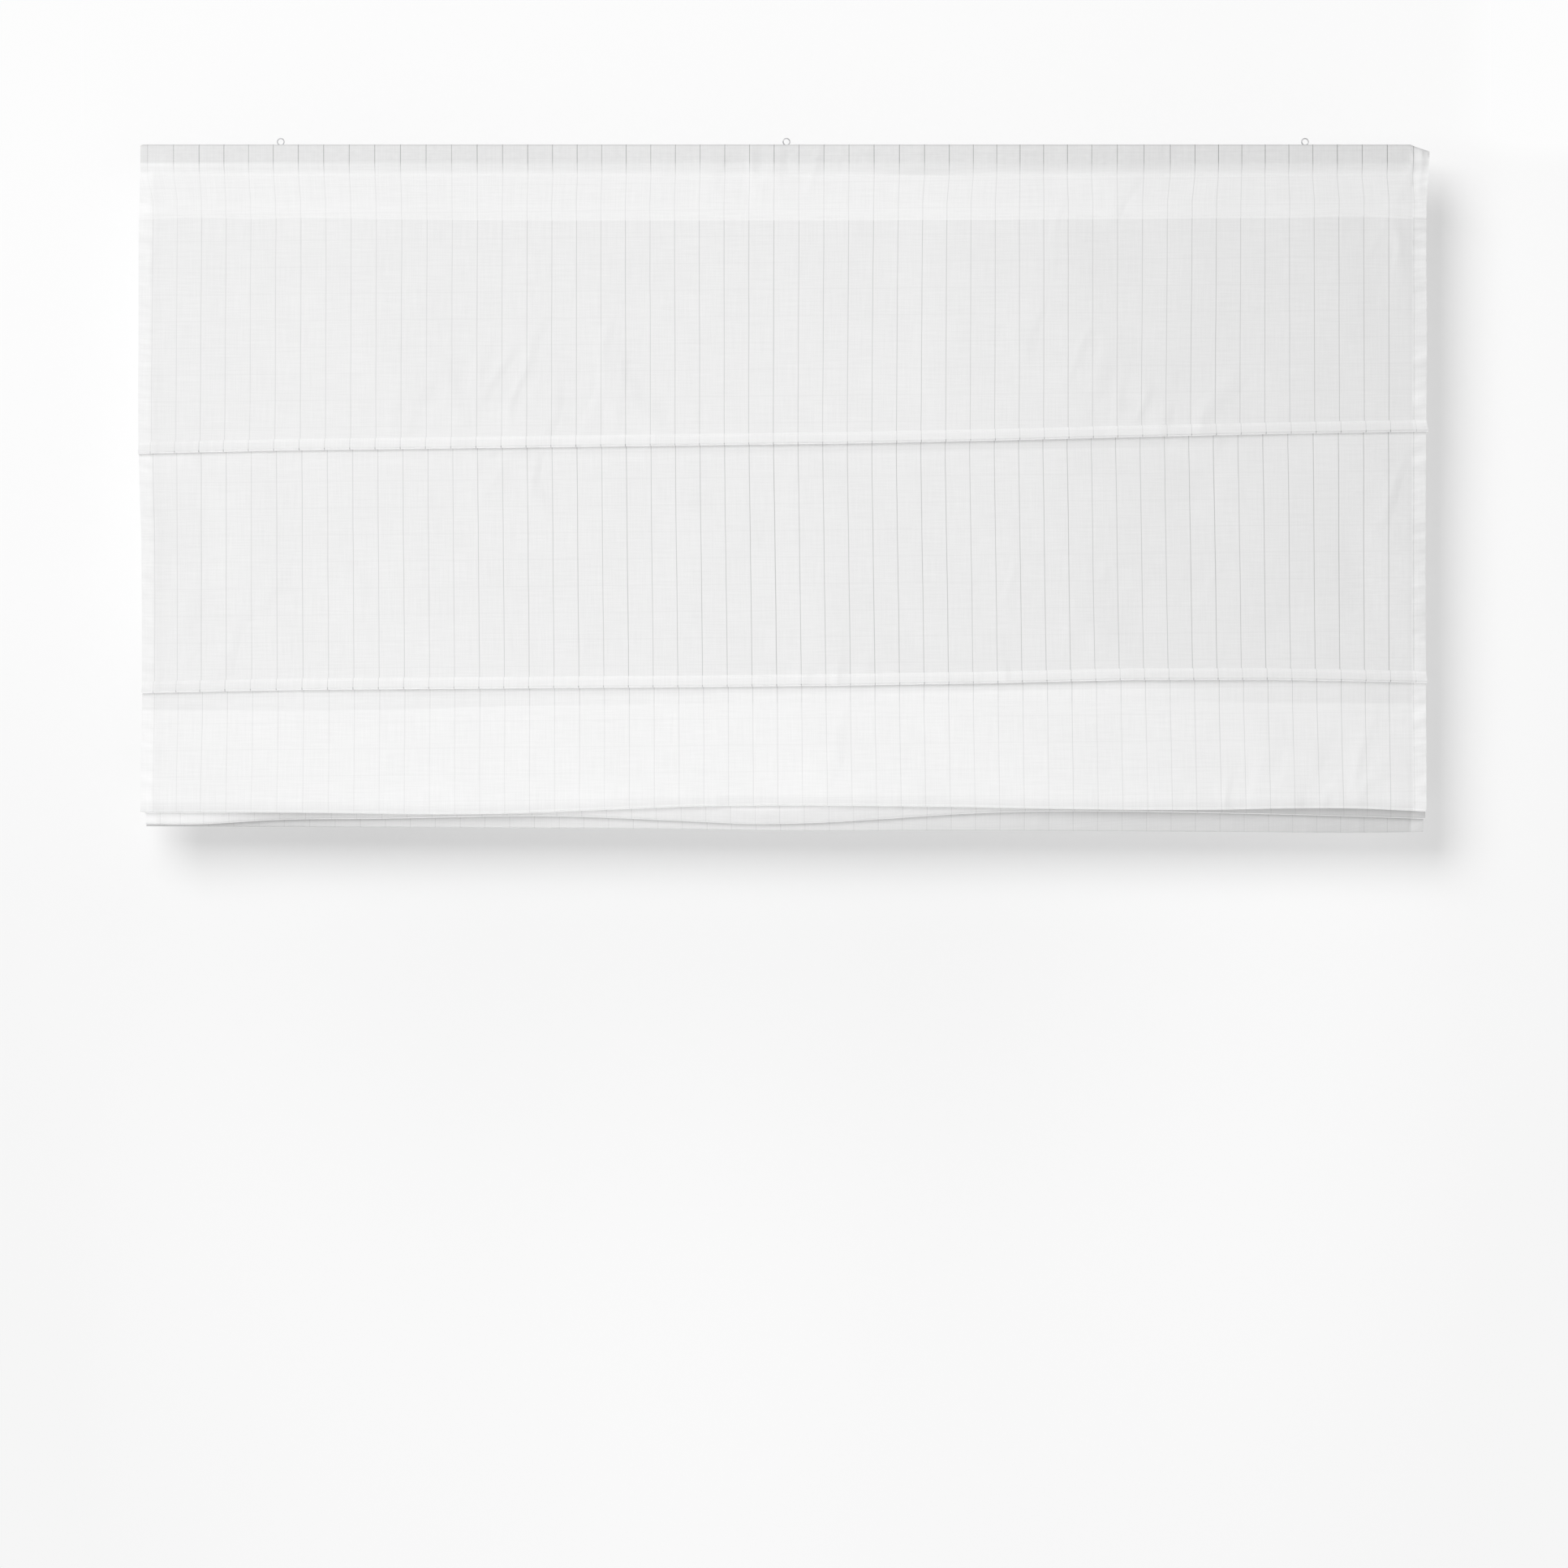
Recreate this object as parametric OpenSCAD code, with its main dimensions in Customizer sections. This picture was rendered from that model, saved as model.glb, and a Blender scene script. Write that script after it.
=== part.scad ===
// Roman blind, half raised: one sheet of cotton hung from a wooden batten, with
// rods in sewn tucks and the lower panels gathered into hanging folds.
// Millimetres. +X runs along the batten, +Y points to the wall and +Z is up.
// The origin is the centre of the middle hanging eye.

/* [Cloth] */
// Finished width of the cloth
cloth_w = 1600; // [800:10:2000]
// Thickness of one layer of cloth
cloth_t = 0.5; // [0.3:0.05:0.8]
// Width of the turned hem along each side
side_hem_w = 17; // [10:1:30]
// Depth of the top hem, down the back from the top edge
top_hem_d = 93; // [65:1:150]
// Depth of the bottom hem, up the back from the bottom edge
bottom_hem_d = 38; // [38:1:60]
// Raw edge turned in at the end of the top and bottom hems
turn_in = 9; // [5:1:10]

/* [Tucks] */
// From the top edge of the cloth down to the first tuck's seam
first_drop = 357; // [200:1:450]
// From one tuck's seam to the next, along the cloth
tuck_pitch = 304; // [240:1:400]
// From a tuck's seam down to its folded edge
tuck_d = 14; // [12:0.5:20]
// How much higher the first tuck is at its right end
first_rise = 25; // [0:1:40]
// How much higher the other tucks are at their right ends
lower_rise = 14; // [0:1:30]

/* [Gathered folds] */
// How far the third and fourth seams are held below the second
gather_drop = 31; // [24:1:60]
// From the fourth seam down to the bottom edge of the cloth
last_drop = 160; // [130:1:200]
// How much higher the bottom edge is at its right end
bottom_rise = -7; // [-20:1:20]
// Bend radius at the bottom of a hanging fold
fold_r = 3; // [2.5:0.5:5]
// How far the bottoms of the folds swing forward of their tops
fold_swing = 8; // [4:1:12]

/* [Head batten] */
// Height of the wooden batten
batten_h = 22; // [18:1:30]
// Thickness of the wooden batten
batten_t = 10; // [8:1:16]
// Length of cloth that closes to a seam under the batten
channel_drop = 15; // [10:1:25]
// Room between the batten's left end and the edge of the cloth
batten_left_gap = 2; // [1:0.5:10]
// Room between the batten's right end and the right side hem
batten_right_gap = 3; // [2:0.5:10]
// How far the unsupported right corner of the cloth droops
corner_droop = 8; // [0:1:12]

/* [Hanging eyes] */
// Hole of a hanging eye
eye_hole_d = 7; // [5:0.5:9]
// Wire of a hanging eye
eye_wire_d = 1.4; // [1.2:0.1:2.4]
// Length of the screw below the eye
eye_shank_l = 15; // [10:1:18]
// From the batten's left end to the left eye
left_eye_inset = 174; // [60:1:300]
// From the batten's right end to the right eye
right_eye_inset = 130; // [60:1:300]
// How far the middle eye is to the right of the batten's middle
middle_eye_offset = 14; // [-50:1:50]

/* [Rods and bottom bar] */
// Diameter of the rod in each tuck
rod_d = 3; // [2.5:0.5:6]
// Room between a rod's end and the edge of the cloth
rod_end_gap = 4; // [2:0.5:15]
// Height of the weight bar in the bottom hem
bar_h = 16; // [10:1:18]
// Thickness of the weight bar
bar_t = 2; // [1:0.5:4]
// Room between the bar's end and the edge of the cloth
bar_end_gap = 10; // [2:1:30]

/* [Lift rings] */
// Outside diameter of a lift ring
ring_d = 12; // [11:0.5:16]
// Thickness of a lift ring
ring_wire_d = 2; // [1.5:0.1:2.5]

/* [Hidden] */
$fn = 48;
columns = ["left", "middle", "right"];
rod_numbers = [1, 2, 3, 4];

// Clearances
batten_ease = 0.4;
rod_ease = 0.2;
bar_ease = 0.15;
press = 0.2;
screw_ease = 0.05;
slot_ease = 0.4;
ring_ease = 0.1;
eye_rise = 0.4;
// Depth of the flat worn inside a hanging eye
eye_land = 0.1;

// A turned side hem adds one layer to the back of the cloth
hem_t = cloth_t;
front_off = cloth_t / 2;
hem_off = cloth_t / 2 + hem_t;
// Ramp from one layer to two at the inner edge of a side hem
hem_ramp = 0.6;

// Spacing of two layers whose backs, fronts, or front and back, lie together
pitch_bb = 2 * hem_off + press;
pitch_ff = 2 * front_off + 2 * press;
pitch_fb = front_off + hem_off + press;
turn_r = pitch_ff / 2;

// Along X: the batten and cloth are placed from the middle eye at the origin
batten_l = cloth_w - batten_left_gap - batten_right_gap - side_hem_w;
batten_x0 = -batten_l / 2 - middle_eye_offset;
batten_x1 = batten_x0 + batten_l;
cloth_x0 = batten_x0 - batten_left_gap;
cloth_x1 = cloth_x0 + cloth_w;
cloth_mid = (cloth_x0 + cloth_x1) / 2;
column_x = [batten_x0 + left_eye_inset, 0, batten_x1 - right_eye_inset];

// Heights of the head
eye_r = eye_hole_d / 2 + eye_wire_d / 2 - eye_land;
cloth_top = -eye_hole_d / 2 - eye_rise;
edge_r = 1.5;
batten_top = cloth_top - cloth_t / 2 - hem_off - batten_ease;
batten_bottom = batten_top - batten_h;
channel_z = batten_bottom - channel_drop;
hem_end_z = cloth_top - top_hem_d;
channel_half = batten_t / 2 + batten_ease + hem_off;
channel_corner = edge_r + batten_ease + hem_off;
closed_half = 2 * hem_off;

// Heights of the tuck seams at the middle of the cloth, and the rise of each
seam_1 = cloth_top - first_drop;
seam_2 = seam_1 - tuck_pitch;
seam_3 = seam_2 - gather_drop;
seam_mid = [seam_1, seam_2, seam_3, seam_3];
seam_rise = [first_rise, lower_rise, lower_rise, lower_rise];
function slope(i) = seam_rise[i] / cloth_w;
// The slim rods of the two front tucks bow off a straight line, by this much at
// a share of the width
bow_1 = [[0, -1], [0.05, 1], [0.2, 0], [0.4, -1], [0.6, -2], [0.75, 0.5], [0.95, 2.5], [1, 2]];
bow_2 = [[0, 0], [0.08, 2.5], [0.5, 1.5], [0.65, 3], [0.78, 6], [0.85, 5.5], [0.95, 2], [1, -1]];
tuck_bow = [bow_1, bow_2];
function bow(i, x) = i < len(tuck_bow) ? lookup(share(x), tuck_bow[i]) : 0;
function seam_z(i, x) = seam_mid[i] + slope(i) * (x - cloth_mid) + bow(i, x);

// Depths of the layers, front to back
panel_1 = -(pitch_fb + pitch_bb) / 2;
panel_2 = panel_1 + pitch_bb + pitch_ff;
panel_3 = panel_2 + pitch_bb + pitch_ff;
rod_loop = rod_d / 2 + rod_ease + hem_off;
wrap_r = rod_loop + pitch_ff;
rod_drop = tuck_d - rod_loop - front_off;
rod_y = [
    panel_1 + pitch_bb - rod_loop,
    panel_2 + pitch_bb - rod_loop,
    panel_3 + pitch_bb + wrap_r,
    panel_3 + 2 * (pitch_bb + wrap_r) + wrap_r
];
fold_a_y = panel_3 + fold_r - fold_swing;
fold_b_y = fold_a_y + 2 * fold_r + pitch_bb + pitch_ff;
last_y = fold_b_y + fold_r + pitch_ff + front_off;
bar_loop = bar_t / 2 + bar_ease + hem_off;

// Bottoms of the two hanging folds and of the cloth, with the sag that each has
// at a share of the width
bend_take_up = (PI / 2 - 1) * fold_r;
sag_a = [[0, -3], [0.25, -5], [0.5, 5], [0.8, 0], [0.9, 2], [1, -2]];
sag_b = [[0, -6], [0.2, 1], [0.48, -5], [0.62, 5], [0.85, 7], [1, 1]];
sag_c = [[0, 0], [0.2, 0], [0.5, -2], [0.8, -1], [1, 0]];
function share(x) = (x - cloth_x0) / cloth_w;
function fold_a_z(x) =
    (seam_2 + seam_3 - tuck_pitch) / 2 + bend_take_up + lookup(share(x), sag_a);
function fold_b_z(x) =
    (2 * seam_3 - tuck_pitch) / 2 + bend_take_up + lookup(share(x), sag_b);
bottom_mid = seam_3 - last_drop;
bottom_slope = bottom_rise / cloth_w;
function bottom_z(x) =
    bottom_mid + bottom_slope * (x - cloth_mid) + lookup(share(x), sag_c);

// The right corner of the cloth has no batten in it, so it closes and droops
droop_x = batten_x1 + batten_ease;
function droop(x) = max(0, (x - droop_x) / (cloth_x1 - droop_x));
function half_at(x) = channel_half + (closed_half - channel_half) * droop(x);
function top_at(x) = cloth_top - front_off - corner_droop * droop(x);

// Curves in the [y, z] plane
function arc(c, r, a0, a1, n) =
    [for (i = [0:n]) let (a = a0 + (a1 - a0) * i / n) c + r * [cos(a), sin(a)]];
function drape(p, q, n) =
    let (k = [0, (q[1] - p[1]) * 0.4])
    [for (i = [1:n - 1]) let (t = i / n, u = 1 - t)
        u^3 * p + 3 * u^2 * t * (p + k) + 3 * u * t^2 * (q - k) + t^3 * q];
// Angle on a circle where the taut line from p touches it, on its front side
function touch(p, c, r) =
    atan2(p[1] - c[1], p[0] - c[0]) + acos(r / norm(p - c));

// A hem's raw edge is turned in; a batten fills the channel above its seam
function head_path(x) =
    let (
        inner = panel_1 + pitch_fb,
        outer = inner + pitch_bb,
        r = pitch_bb / 2,
        half = half_at(x),
        corner = min(channel_corner, half - press),
        top = top_at(x)
    )
    concat(
        [[inner, hem_end_z + r + turn_in]],
        arc([inner + r, hem_end_z + r], r, 180, 360, 5),
        [[outer, channel_z], [half, batten_bottom]],
        arc([half - corner, top - corner], corner, 0, 90, 4),
        arc([corner - half, top - corner], corner, 90, 180, 4),
        [[-half, batten_bottom], [panel_1, channel_z]]
    );

// A tuck that hangs in front of the panel below it
function front_tuck(i, panel, x) =
    let (
        s = seam_z(i, x),
        seam = [panel, s],
        c = [rod_y[i], s - rod_drop]
    )
    concat(
        [seam],
        arc(c, rod_loop, touch(seam, c, rod_loop), 360, 10),
        arc([panel + pitch_bb + turn_r, s], turn_r, 180, 0, 4)
    );

// A tuck at the top of a gathered fold, between the layer that rises to it and
// the layer that falls from it
function gathered_tuck(i, x) =
    let (
        s = seam_z(i, x),
        c = [rod_y[i], s - rod_drop],
        half = pitch_bb / 2,
        wrap = touch([c[0] - half - 2 * turn_r, s], c, wrap_r),
        hold = touch([c[0] - half, s], c, rod_loop)
    )
    concat(
        arc(c, wrap_r, 180, wrap, 2),
        arc([c[0] - half - turn_r, s], turn_r, 180, 0, 4),
        arc(c, rod_loop, hold, 540 - hold, 8),
        arc([c[0] + half + turn_r, s], turn_r, 180, 0, 4),
        arc(c, wrap_r, 180 - wrap, 0, 2)
    );

// The bottom hem holds the bar and has its raw edge turned in
function bottom_path(x) =
    let (
        z = bottom_z(x),
        back = last_y + 2 * bar_loop,
        r = pitch_bb / 2,
        hem_top = z + bottom_hem_d - r
    )
    concat(
        [[last_y, z + bottom_hem_d]],
        arc([last_y + bar_loop, z + front_off + bar_loop], bar_loop, 180, 360, 6),
        arc([back - r, hem_top], r, 0, 180, 4),
        [[back - 2 * r, hem_top - turn_in]]
    );

// The whole cloth in section, from the raw edge of the top hem to that of the
// bottom hem
function cloth_path(x) =
    let (
        below_tuck = [panel_3, seam_z(1, x) - tuck_d - fold_r],
        a = [fold_a_y, fold_a_z(x) + fold_r + front_off],
        b = [fold_b_y, fold_b_z(x) + fold_r + front_off],
        r = [fold_r, 0],
        wrap = [wrap_r, 0],
        rod_3 = [rod_y[2], seam_z(2, x) - rod_drop],
        rod_4 = [rod_y[3], seam_z(3, x) - rod_drop],
        hem = [last_y, bottom_z(x) + bottom_hem_d]
    )
    concat(
        head_path(x),
        front_tuck(0, panel_1, x),
        front_tuck(1, panel_2, x),
        [below_tuck],
        drape(below_tuck, a - r, 5),
        arc(a, fold_r, 180, 360, 6),
        drape(a + r, rod_3 - wrap, 5),
        gathered_tuck(2, x),
        drape(rod_3 + wrap, b - r, 5),
        arc(b, fold_r, 180, 360, 6),
        drape(b + r, rod_4 - wrap, 5),
        gathered_tuck(3, x),
        drape(rod_4 + wrap, hem, 5),
        bottom_path(x)
    );

// Offset of a path to its right by d, mitred at each point
function heading(p, q) = (q - p) / norm(q - p);
function beside(path, d) =
    let (last = len(path) - 1)
    [for (k = [0:last])
        let (
            before = heading(path[max(k - 1, 0)], path[max(k, 1)]),
            after = heading(path[min(k, last - 1)], path[min(k + 1, last)]),
            mid = heading([0, 0], before + after),
            reach = d / (mid * before)
        )
        path[k] + reach * [mid[1], -mid[0]]];

// Sections of the cloth across its width
spans = 9;
inner_x0 = cloth_x0 + side_hem_w + hem_ramp;
stations = concat(
    [cloth_x0, cloth_x0 + side_hem_w],
    [for (i = [0:spans]) inner_x0 + (droop_x - inner_x0) * i / spans],
    [cloth_x1 - side_hem_w - hem_ramp, cloth_x1 - side_hem_w],
    [cloth_x1 - side_hem_w / 2, cloth_x1]
);
function back_off(x) =
    x <= cloth_x0 + side_hem_w || x >= cloth_x1 - side_hem_w ? hem_off : front_off;

// One sheet of cloth: a front skin and a back skin over all the sections
module cloth_sheet() {
    paths = [for (x = stations) cloth_path(x)];
    n = len(paths[0]);
    m = len(stations);
    points = [for (j = [0:m - 1])
        each concat(
            [for (p = beside(paths[j], front_off)) [stations[j], p[0], p[1]]],
            [for (p = beside(paths[j], -back_off(stations[j]))) [stations[j], p[0], p[1]]]
        )];
    function front(j, k) = j * 2 * n + k;
    function back(j, k) = j * 2 * n + n + k;
    skins = [for (j = [0:m - 2]) for (k = [0:n - 2])
        each [
            [front(j, k), front(j + 1, k), front(j + 1, k + 1)],
            [front(j, k), front(j + 1, k + 1), front(j, k + 1)],
            [back(j, k), back(j, k + 1), back(j + 1, k + 1)],
            [back(j, k), back(j + 1, k + 1), back(j + 1, k)]
        ]];
    sides = [for (k = [0:n - 2])
        each [
            [front(0, k), front(0, k + 1), back(0, k + 1)],
            [front(0, k), back(0, k + 1), back(0, k)],
            [front(m - 1, k), back(m - 1, k + 1), front(m - 1, k + 1)],
            [front(m - 1, k), back(m - 1, k), back(m - 1, k + 1)]
        ]];
    raw_edges = [for (j = [0:m - 2])
        each [
            [front(j, 0), back(j, 0), back(j + 1, 0)],
            [front(j, 0), back(j + 1, 0), front(j + 1, 0)],
            [front(j, n - 1), back(j + 1, n - 1), back(j, n - 1)],
            [front(j, n - 1), front(j + 1, n - 1), back(j + 1, n - 1)]
        ]];
    polyhedron(points, concat(skins, sides, raw_edges), convexity = 12);
}

// A hanging eye passes through a slot in the top edge of the cloth
module cloth() {
    slot_w = 2 * sqrt((eye_r + eye_wire_d / 2)^2 - cloth_top^2) + 2 * slot_ease;
    color("white")
        difference() {
            cloth_sheet();
            for (x = column_x)
                translate([x, 0, cloth_top])
                    cube([slot_w, eye_wire_d + 2 * slot_ease, 3 * cloth_t], center = true);
        }
}

// A rectangle with round corners, in exact arcs
module rounded_bar(w, h, r) {
    square([w - 2 * r, h], center = true);
    square([w, h - 2 * r], center = true);
    for (sx = [-1, 1])
        for (sy = [-1, 1])
            translate([sx * (w / 2 - r), sy * (h / 2 - r)]) circle(r);
}

// A straight strip along X with a section in Y and Z
module along_x(length) {
    rotate([90, 0, 90]) linear_extrude(length) children();
}

module head_batten() {
    color("burlywood")
        difference() {
            translate([batten_x0, 0, (batten_top + batten_bottom) / 2])
                along_x(batten_l) rounded_bar(batten_t, batten_h, edge_r);
            for (x = column_x)
                translate([x, 0, -eye_r - eye_shank_l - screw_ease])
                    cylinder(h = eye_shank_l, d = eye_wire_d + 2 * screw_ease);
        }
}

// A wire eye, flattened a little inside where the hook bears, on a pointed screw
module hanging_eye(x) {
    point_l = 3;
    color("silver")
        translate([x, 0, 0]) {
            rotate([90, 0, 0])
                rotate_extrude()
                    intersection() {
                        translate([eye_r, 0]) circle(d = eye_wire_d);
                        translate([eye_hole_d / 2, -eye_wire_d])
                            square([2 * eye_wire_d, 2 * eye_wire_d]);
                    }
            translate([0, 0, -eye_r - eye_shank_l + point_l])
                cylinder(h = eye_shank_l - point_l, d = eye_wire_d);
            translate([0, 0, -eye_r - eye_shank_l])
                cylinder(h = point_l, d1 = eye_wire_d / 4, d2 = eye_wire_d);
        }
}

// A round rod with broken edges, tilted with its tuck
rod_bevel = rod_d / 10;
module straight_rod(i) {
    length = cloth_w - 2 * rod_end_gap;
    translate([cloth_mid, rod_y[i], seam_mid[i] - rod_drop])
        rotate([0, -atan(slope(i)), 0])
            rotate([0, 90, 0]) {
                cylinder(h = length - 2 * rod_bevel, d = rod_d, center = true);
                for (end = [0, 1])
                    mirror([0, 0, end])
                        translate([0, 0, length / 2 - rod_bevel])
                            cylinder(h = rod_bevel, d1 = rod_d, d2 = rod_d - 2 * rod_bevel);
            }
}

// A rod that bows with its tuck: a ring of points at each section of the cloth
module bowed_rod(i) {
    sides = 20;
    x0 = cloth_x0 + rod_end_gap;
    x1 = cloth_x1 - rod_end_gap;
    body = concat(
        [x0 + rod_bevel],
        [for (x = stations) if (x > x0 + rod_bevel && x < x1 - rod_bevel) x],
        [x1 - rod_bevel]
    );
    rings = concat(
        [[x0, rod_d / 2 - rod_bevel]],
        [for (x = body) [x, rod_d / 2]],
        [[x1, rod_d / 2 - rod_bevel]]
    );
    last = len(rings) - 1;
    points = [for (ring = rings) for (k = [0:sides - 1])
        let (a = 360 * k / sides)
        [ring[0], rod_y[i] + ring[1] * cos(a), seam_z(i, ring[0]) - rod_drop + ring[1] * sin(a)]];
    function at(j, k) = j * sides + k % sides;
    walls = [for (j = [0:last - 1]) for (k = [0:sides - 1])
        each [
            [at(j, k), at(j + 1, k + 1), at(j + 1, k)],
            [at(j, k), at(j, k + 1), at(j + 1, k + 1)]
        ]];
    ends = [
        [for (k = [sides - 1:-1:0]) at(0, k)],
        [for (k = [0:sides - 1]) at(last, k)]
    ];
    polyhedron(points, concat(walls, ends), convexity = 4);
}

module tuck_rod(i) {
    color("whitesmoke")
        if (i < len(tuck_bow)) bowed_rod(i);
        else straight_rod(i);
}

// A flat bar that lies in the bottom hem and slopes with it
module bottom_bar() {
    length = cloth_w - 2 * bar_end_gap;
    color("gainsboro")
        translate([cloth_mid, last_y + bar_loop, bottom_mid + front_off + bar_loop])
            rotate([0, -atan(bottom_slope), 0])
                translate([-length / 2, 0, bar_h / 2])
                    along_x(length) rounded_bar(bar_t, bar_h, bar_t / 4);
}

module lift_ring(i, x) {
    mean_r = (ring_d - ring_wire_d) / 2;
    s = seam_z(i, x);
    // In front tucks a ring hangs behind the cloth, just below the seam
    hung_y = (i == 0 ? panel_2 : panel_3) + front_off + ring_ease + ring_wire_d / 2;
    hung_z = s - mean_r;
    // On a gathered fold it stands in the valley between the fold's two humps
    valley = turn_r + front_off + ring_wire_d / 2 + ring_ease;
    stood_z = s + mean_r + sqrt(valley^2 - (pitch_bb / 2 + turn_r)^2);
    color("ivory")
        translate(i < 2 ? [x, hung_y, hung_z] : [x, rod_y[i], stood_z])
            rotate([90, 0, 0])
                rotate_extrude() translate([mean_r, 0]) circle(d = ring_wire_d);
}

cloth();
head_batten();
bottom_bar();
for (k = [0:2])
    hanging_eye(column_x[k]);
for (i = rod_numbers)
    tuck_rod(i - 1);
for (i = rod_numbers)
    for (k = [0:2])
        lift_ring(i - 1, column_x[k]);
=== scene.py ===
"""Roman blind, half raised: its folded cloth, stitching and finishes, on the packed frame."""

import math
from math import pi
from types import SimpleNamespace

import bpy
import numpy as np
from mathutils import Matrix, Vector


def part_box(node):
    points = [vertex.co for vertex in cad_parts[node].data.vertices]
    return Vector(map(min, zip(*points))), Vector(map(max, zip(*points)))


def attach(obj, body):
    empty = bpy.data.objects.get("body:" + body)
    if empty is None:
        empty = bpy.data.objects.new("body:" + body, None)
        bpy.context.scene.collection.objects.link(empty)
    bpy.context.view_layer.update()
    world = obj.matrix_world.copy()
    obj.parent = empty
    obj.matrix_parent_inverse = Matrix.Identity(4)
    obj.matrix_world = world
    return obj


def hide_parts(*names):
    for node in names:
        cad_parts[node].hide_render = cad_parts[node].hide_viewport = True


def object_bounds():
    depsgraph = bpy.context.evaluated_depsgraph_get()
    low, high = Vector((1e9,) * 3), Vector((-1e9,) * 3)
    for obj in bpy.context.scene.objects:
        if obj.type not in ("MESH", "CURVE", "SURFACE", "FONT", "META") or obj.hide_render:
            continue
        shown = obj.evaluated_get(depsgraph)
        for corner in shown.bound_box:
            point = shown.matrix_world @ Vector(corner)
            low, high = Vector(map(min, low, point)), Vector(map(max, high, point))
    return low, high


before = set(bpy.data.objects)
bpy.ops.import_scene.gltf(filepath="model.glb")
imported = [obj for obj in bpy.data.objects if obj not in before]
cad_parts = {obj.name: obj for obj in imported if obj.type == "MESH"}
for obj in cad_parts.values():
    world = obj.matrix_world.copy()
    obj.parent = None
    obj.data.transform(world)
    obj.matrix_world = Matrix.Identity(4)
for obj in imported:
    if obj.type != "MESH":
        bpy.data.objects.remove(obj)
cad_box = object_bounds()

bl_info = {
    "name": "Roman blind",
    "version": (1, 0, 0),
    "blender": (4, 5, 0),
    "location": "3D View > Sidebar > Blind",
    "description": "Dresses the packed blind in folded cotton, stitching and finishes",
    "category": "Object",
}

MM = 0.001
COLUMNS = ("left", "middle", "right")
RODS = (1, 2, 3, 4)
SEED = 23


def number_property(name, description, default, unit="NONE"):
    return bpy.props.FloatProperty(
        name=name, description=description, default=default, unit=unit, precision=5
    )


def length_property(name, description, default):
    """A size in metres, given here in millimetres."""
    return number_property(name, description, default * MM, "LENGTH")


def colour_property(name, description, default):
    return bpy.props.FloatVectorProperty(
        name=name, description=description, default=default, subtype="COLOR", size=3, min=0, max=1
    )


class BlindCloth(bpy.types.PropertyGroup):
    """Sizes of the cloth, as it is cut, hemmed and hung"""

    thickness: length_property("Thickness", "Thickness of one layer of cloth", 0.5)
    press: length_property("Press", "Room between two layers that lie together", 0.2)
    side_hem: length_property("Side hem", "Width of the hem along each side", 17)
    top_hem: length_property("Top hem", "Depth of the top hem below the top edge", 93)
    channel: length_property("Channel", "Length that closes to a seam under the batten", 15)
    turn_in: length_property("Turn in", "Raw edge turned in at the end of the top hem", 21)
    tuck: length_property("Tuck", "From a tuck's seam to its folded edge", 14)
    pitch: length_property("Tuck pitch", "From one tuck's seam to the next, along the cloth", 304)
    gather: length_property("Gather", "How far the gathered seams hang below the second", 31)
    bend: length_property("Bend", "Bend radius at the bottom of a hanging fold", 3)
    swing: length_property("Swing", "How far the hanging folds swing forward", 8)
    bottom_hem: length_property("Bottom hem", "Depth of the bottom hem", 38)
    droop: length_property("Corner droop", "Droop of the corner beyond the batten", 8)
    ripple: length_property("Ripple", "Depth of the soft waves in the panels", 1.1)
    pucker: length_property("Pucker", "Depth of the puckers along the side hems", 0.7)
    crumple: length_property("Crumple", "Depth of the crumples in the loose corner", 0.28)
    stripe_first: length_property("First line", "From the edge to the first drawn line", 17)
    stripe_pitch: length_property("Line pitch", "From one drawn line to the next", 30.74)
    stripe_width: length_property("Line width", "Width of a drawn line", 1.1)
    pick_first: length_property("First pick", "From the top seam to a faint line across the cloth", 16.2)
    pick_pitch: length_property("Pick pitch", "From one faint line across the cloth to the next", 33.2)
    stitch: length_property("Stitch", "Length of a stitch", 2.6)
    stitch_pitch: length_property("Stitch pitch", "From one stitch to the next", 3.4)
    thread: length_property("Thread", "Thickness of the sewing thread", 0.38)


class BlindColours(bpy.types.PropertyGroup):
    """Colours of the finishes"""

    cotton: colour_property("Cotton", "White cotton cloth", (0.806, 0.806, 0.806))
    thread: colour_property("Thread", "Sewing thread", (0.84, 0.84, 0.835))
    pine_pale: colour_property("Pine", "Pale wood between the grain", (0.72, 0.53, 0.33))
    pine_dark: colour_property("Pine grain", "Dark wood in the grain", (0.50, 0.31, 0.16))
    zinc: colour_property("Zinc wire", "Plated wire of the eyes", (0.46, 0.46, 0.47))
    glass: colour_property("Fibreglass", "Pulled glass fibre of the rods", (0.74, 0.75, 0.72))
    steel: colour_property("Galvanised steel", "Spangled bar in the hem", (0.58, 0.60, 0.62))
    plastic: colour_property("Ring plastic", "Milky plastic of the rings", (0.80, 0.79, 0.75))
    wall: colour_property("Wall", "Pale backdrop", (0.98, 0.98, 0.98))


class BlindStage(bpy.types.PropertyGroup):
    """The camera, the lamps and the backdrop"""

    distance: number_property("Camera distance", "From the cloth to the camera", 7.0, "LENGTH")
    view_width: number_property("View width", "Width of the view at the cloth", 1.9504, "LENGTH")
    wall_gap: length_property("Wall gap", "From the middle of the blind to the wall", 85)
    floor_drop: number_property("Floor drop", "From the middle eye to the floor", 2.2, "LENGTH")
    key_power: number_property("Key lamp", "Power of the large soft lamp", 272.0, "POWER")
    fill_power: number_property("Fill lamp", "Power of the low lamp in front", 9.0, "POWER")
    back_power: number_property("Back lamp", "Power of the soft lamp behind", 120.0, "POWER")
    sky: number_property("Sky", "Strength of the even light all round", 0.4)
    wall_glow: number_property("Wall glow", "Share of the wall that shows no shadow", 0.09)
    floor_glow: number_property("Floor glow", "Share of the floor that shows no shadow", 0.5)


GROUPS = {"blind_cloth": BlindCloth, "blind_colours": BlindColours, "blind_stage": BlindStage}


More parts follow.
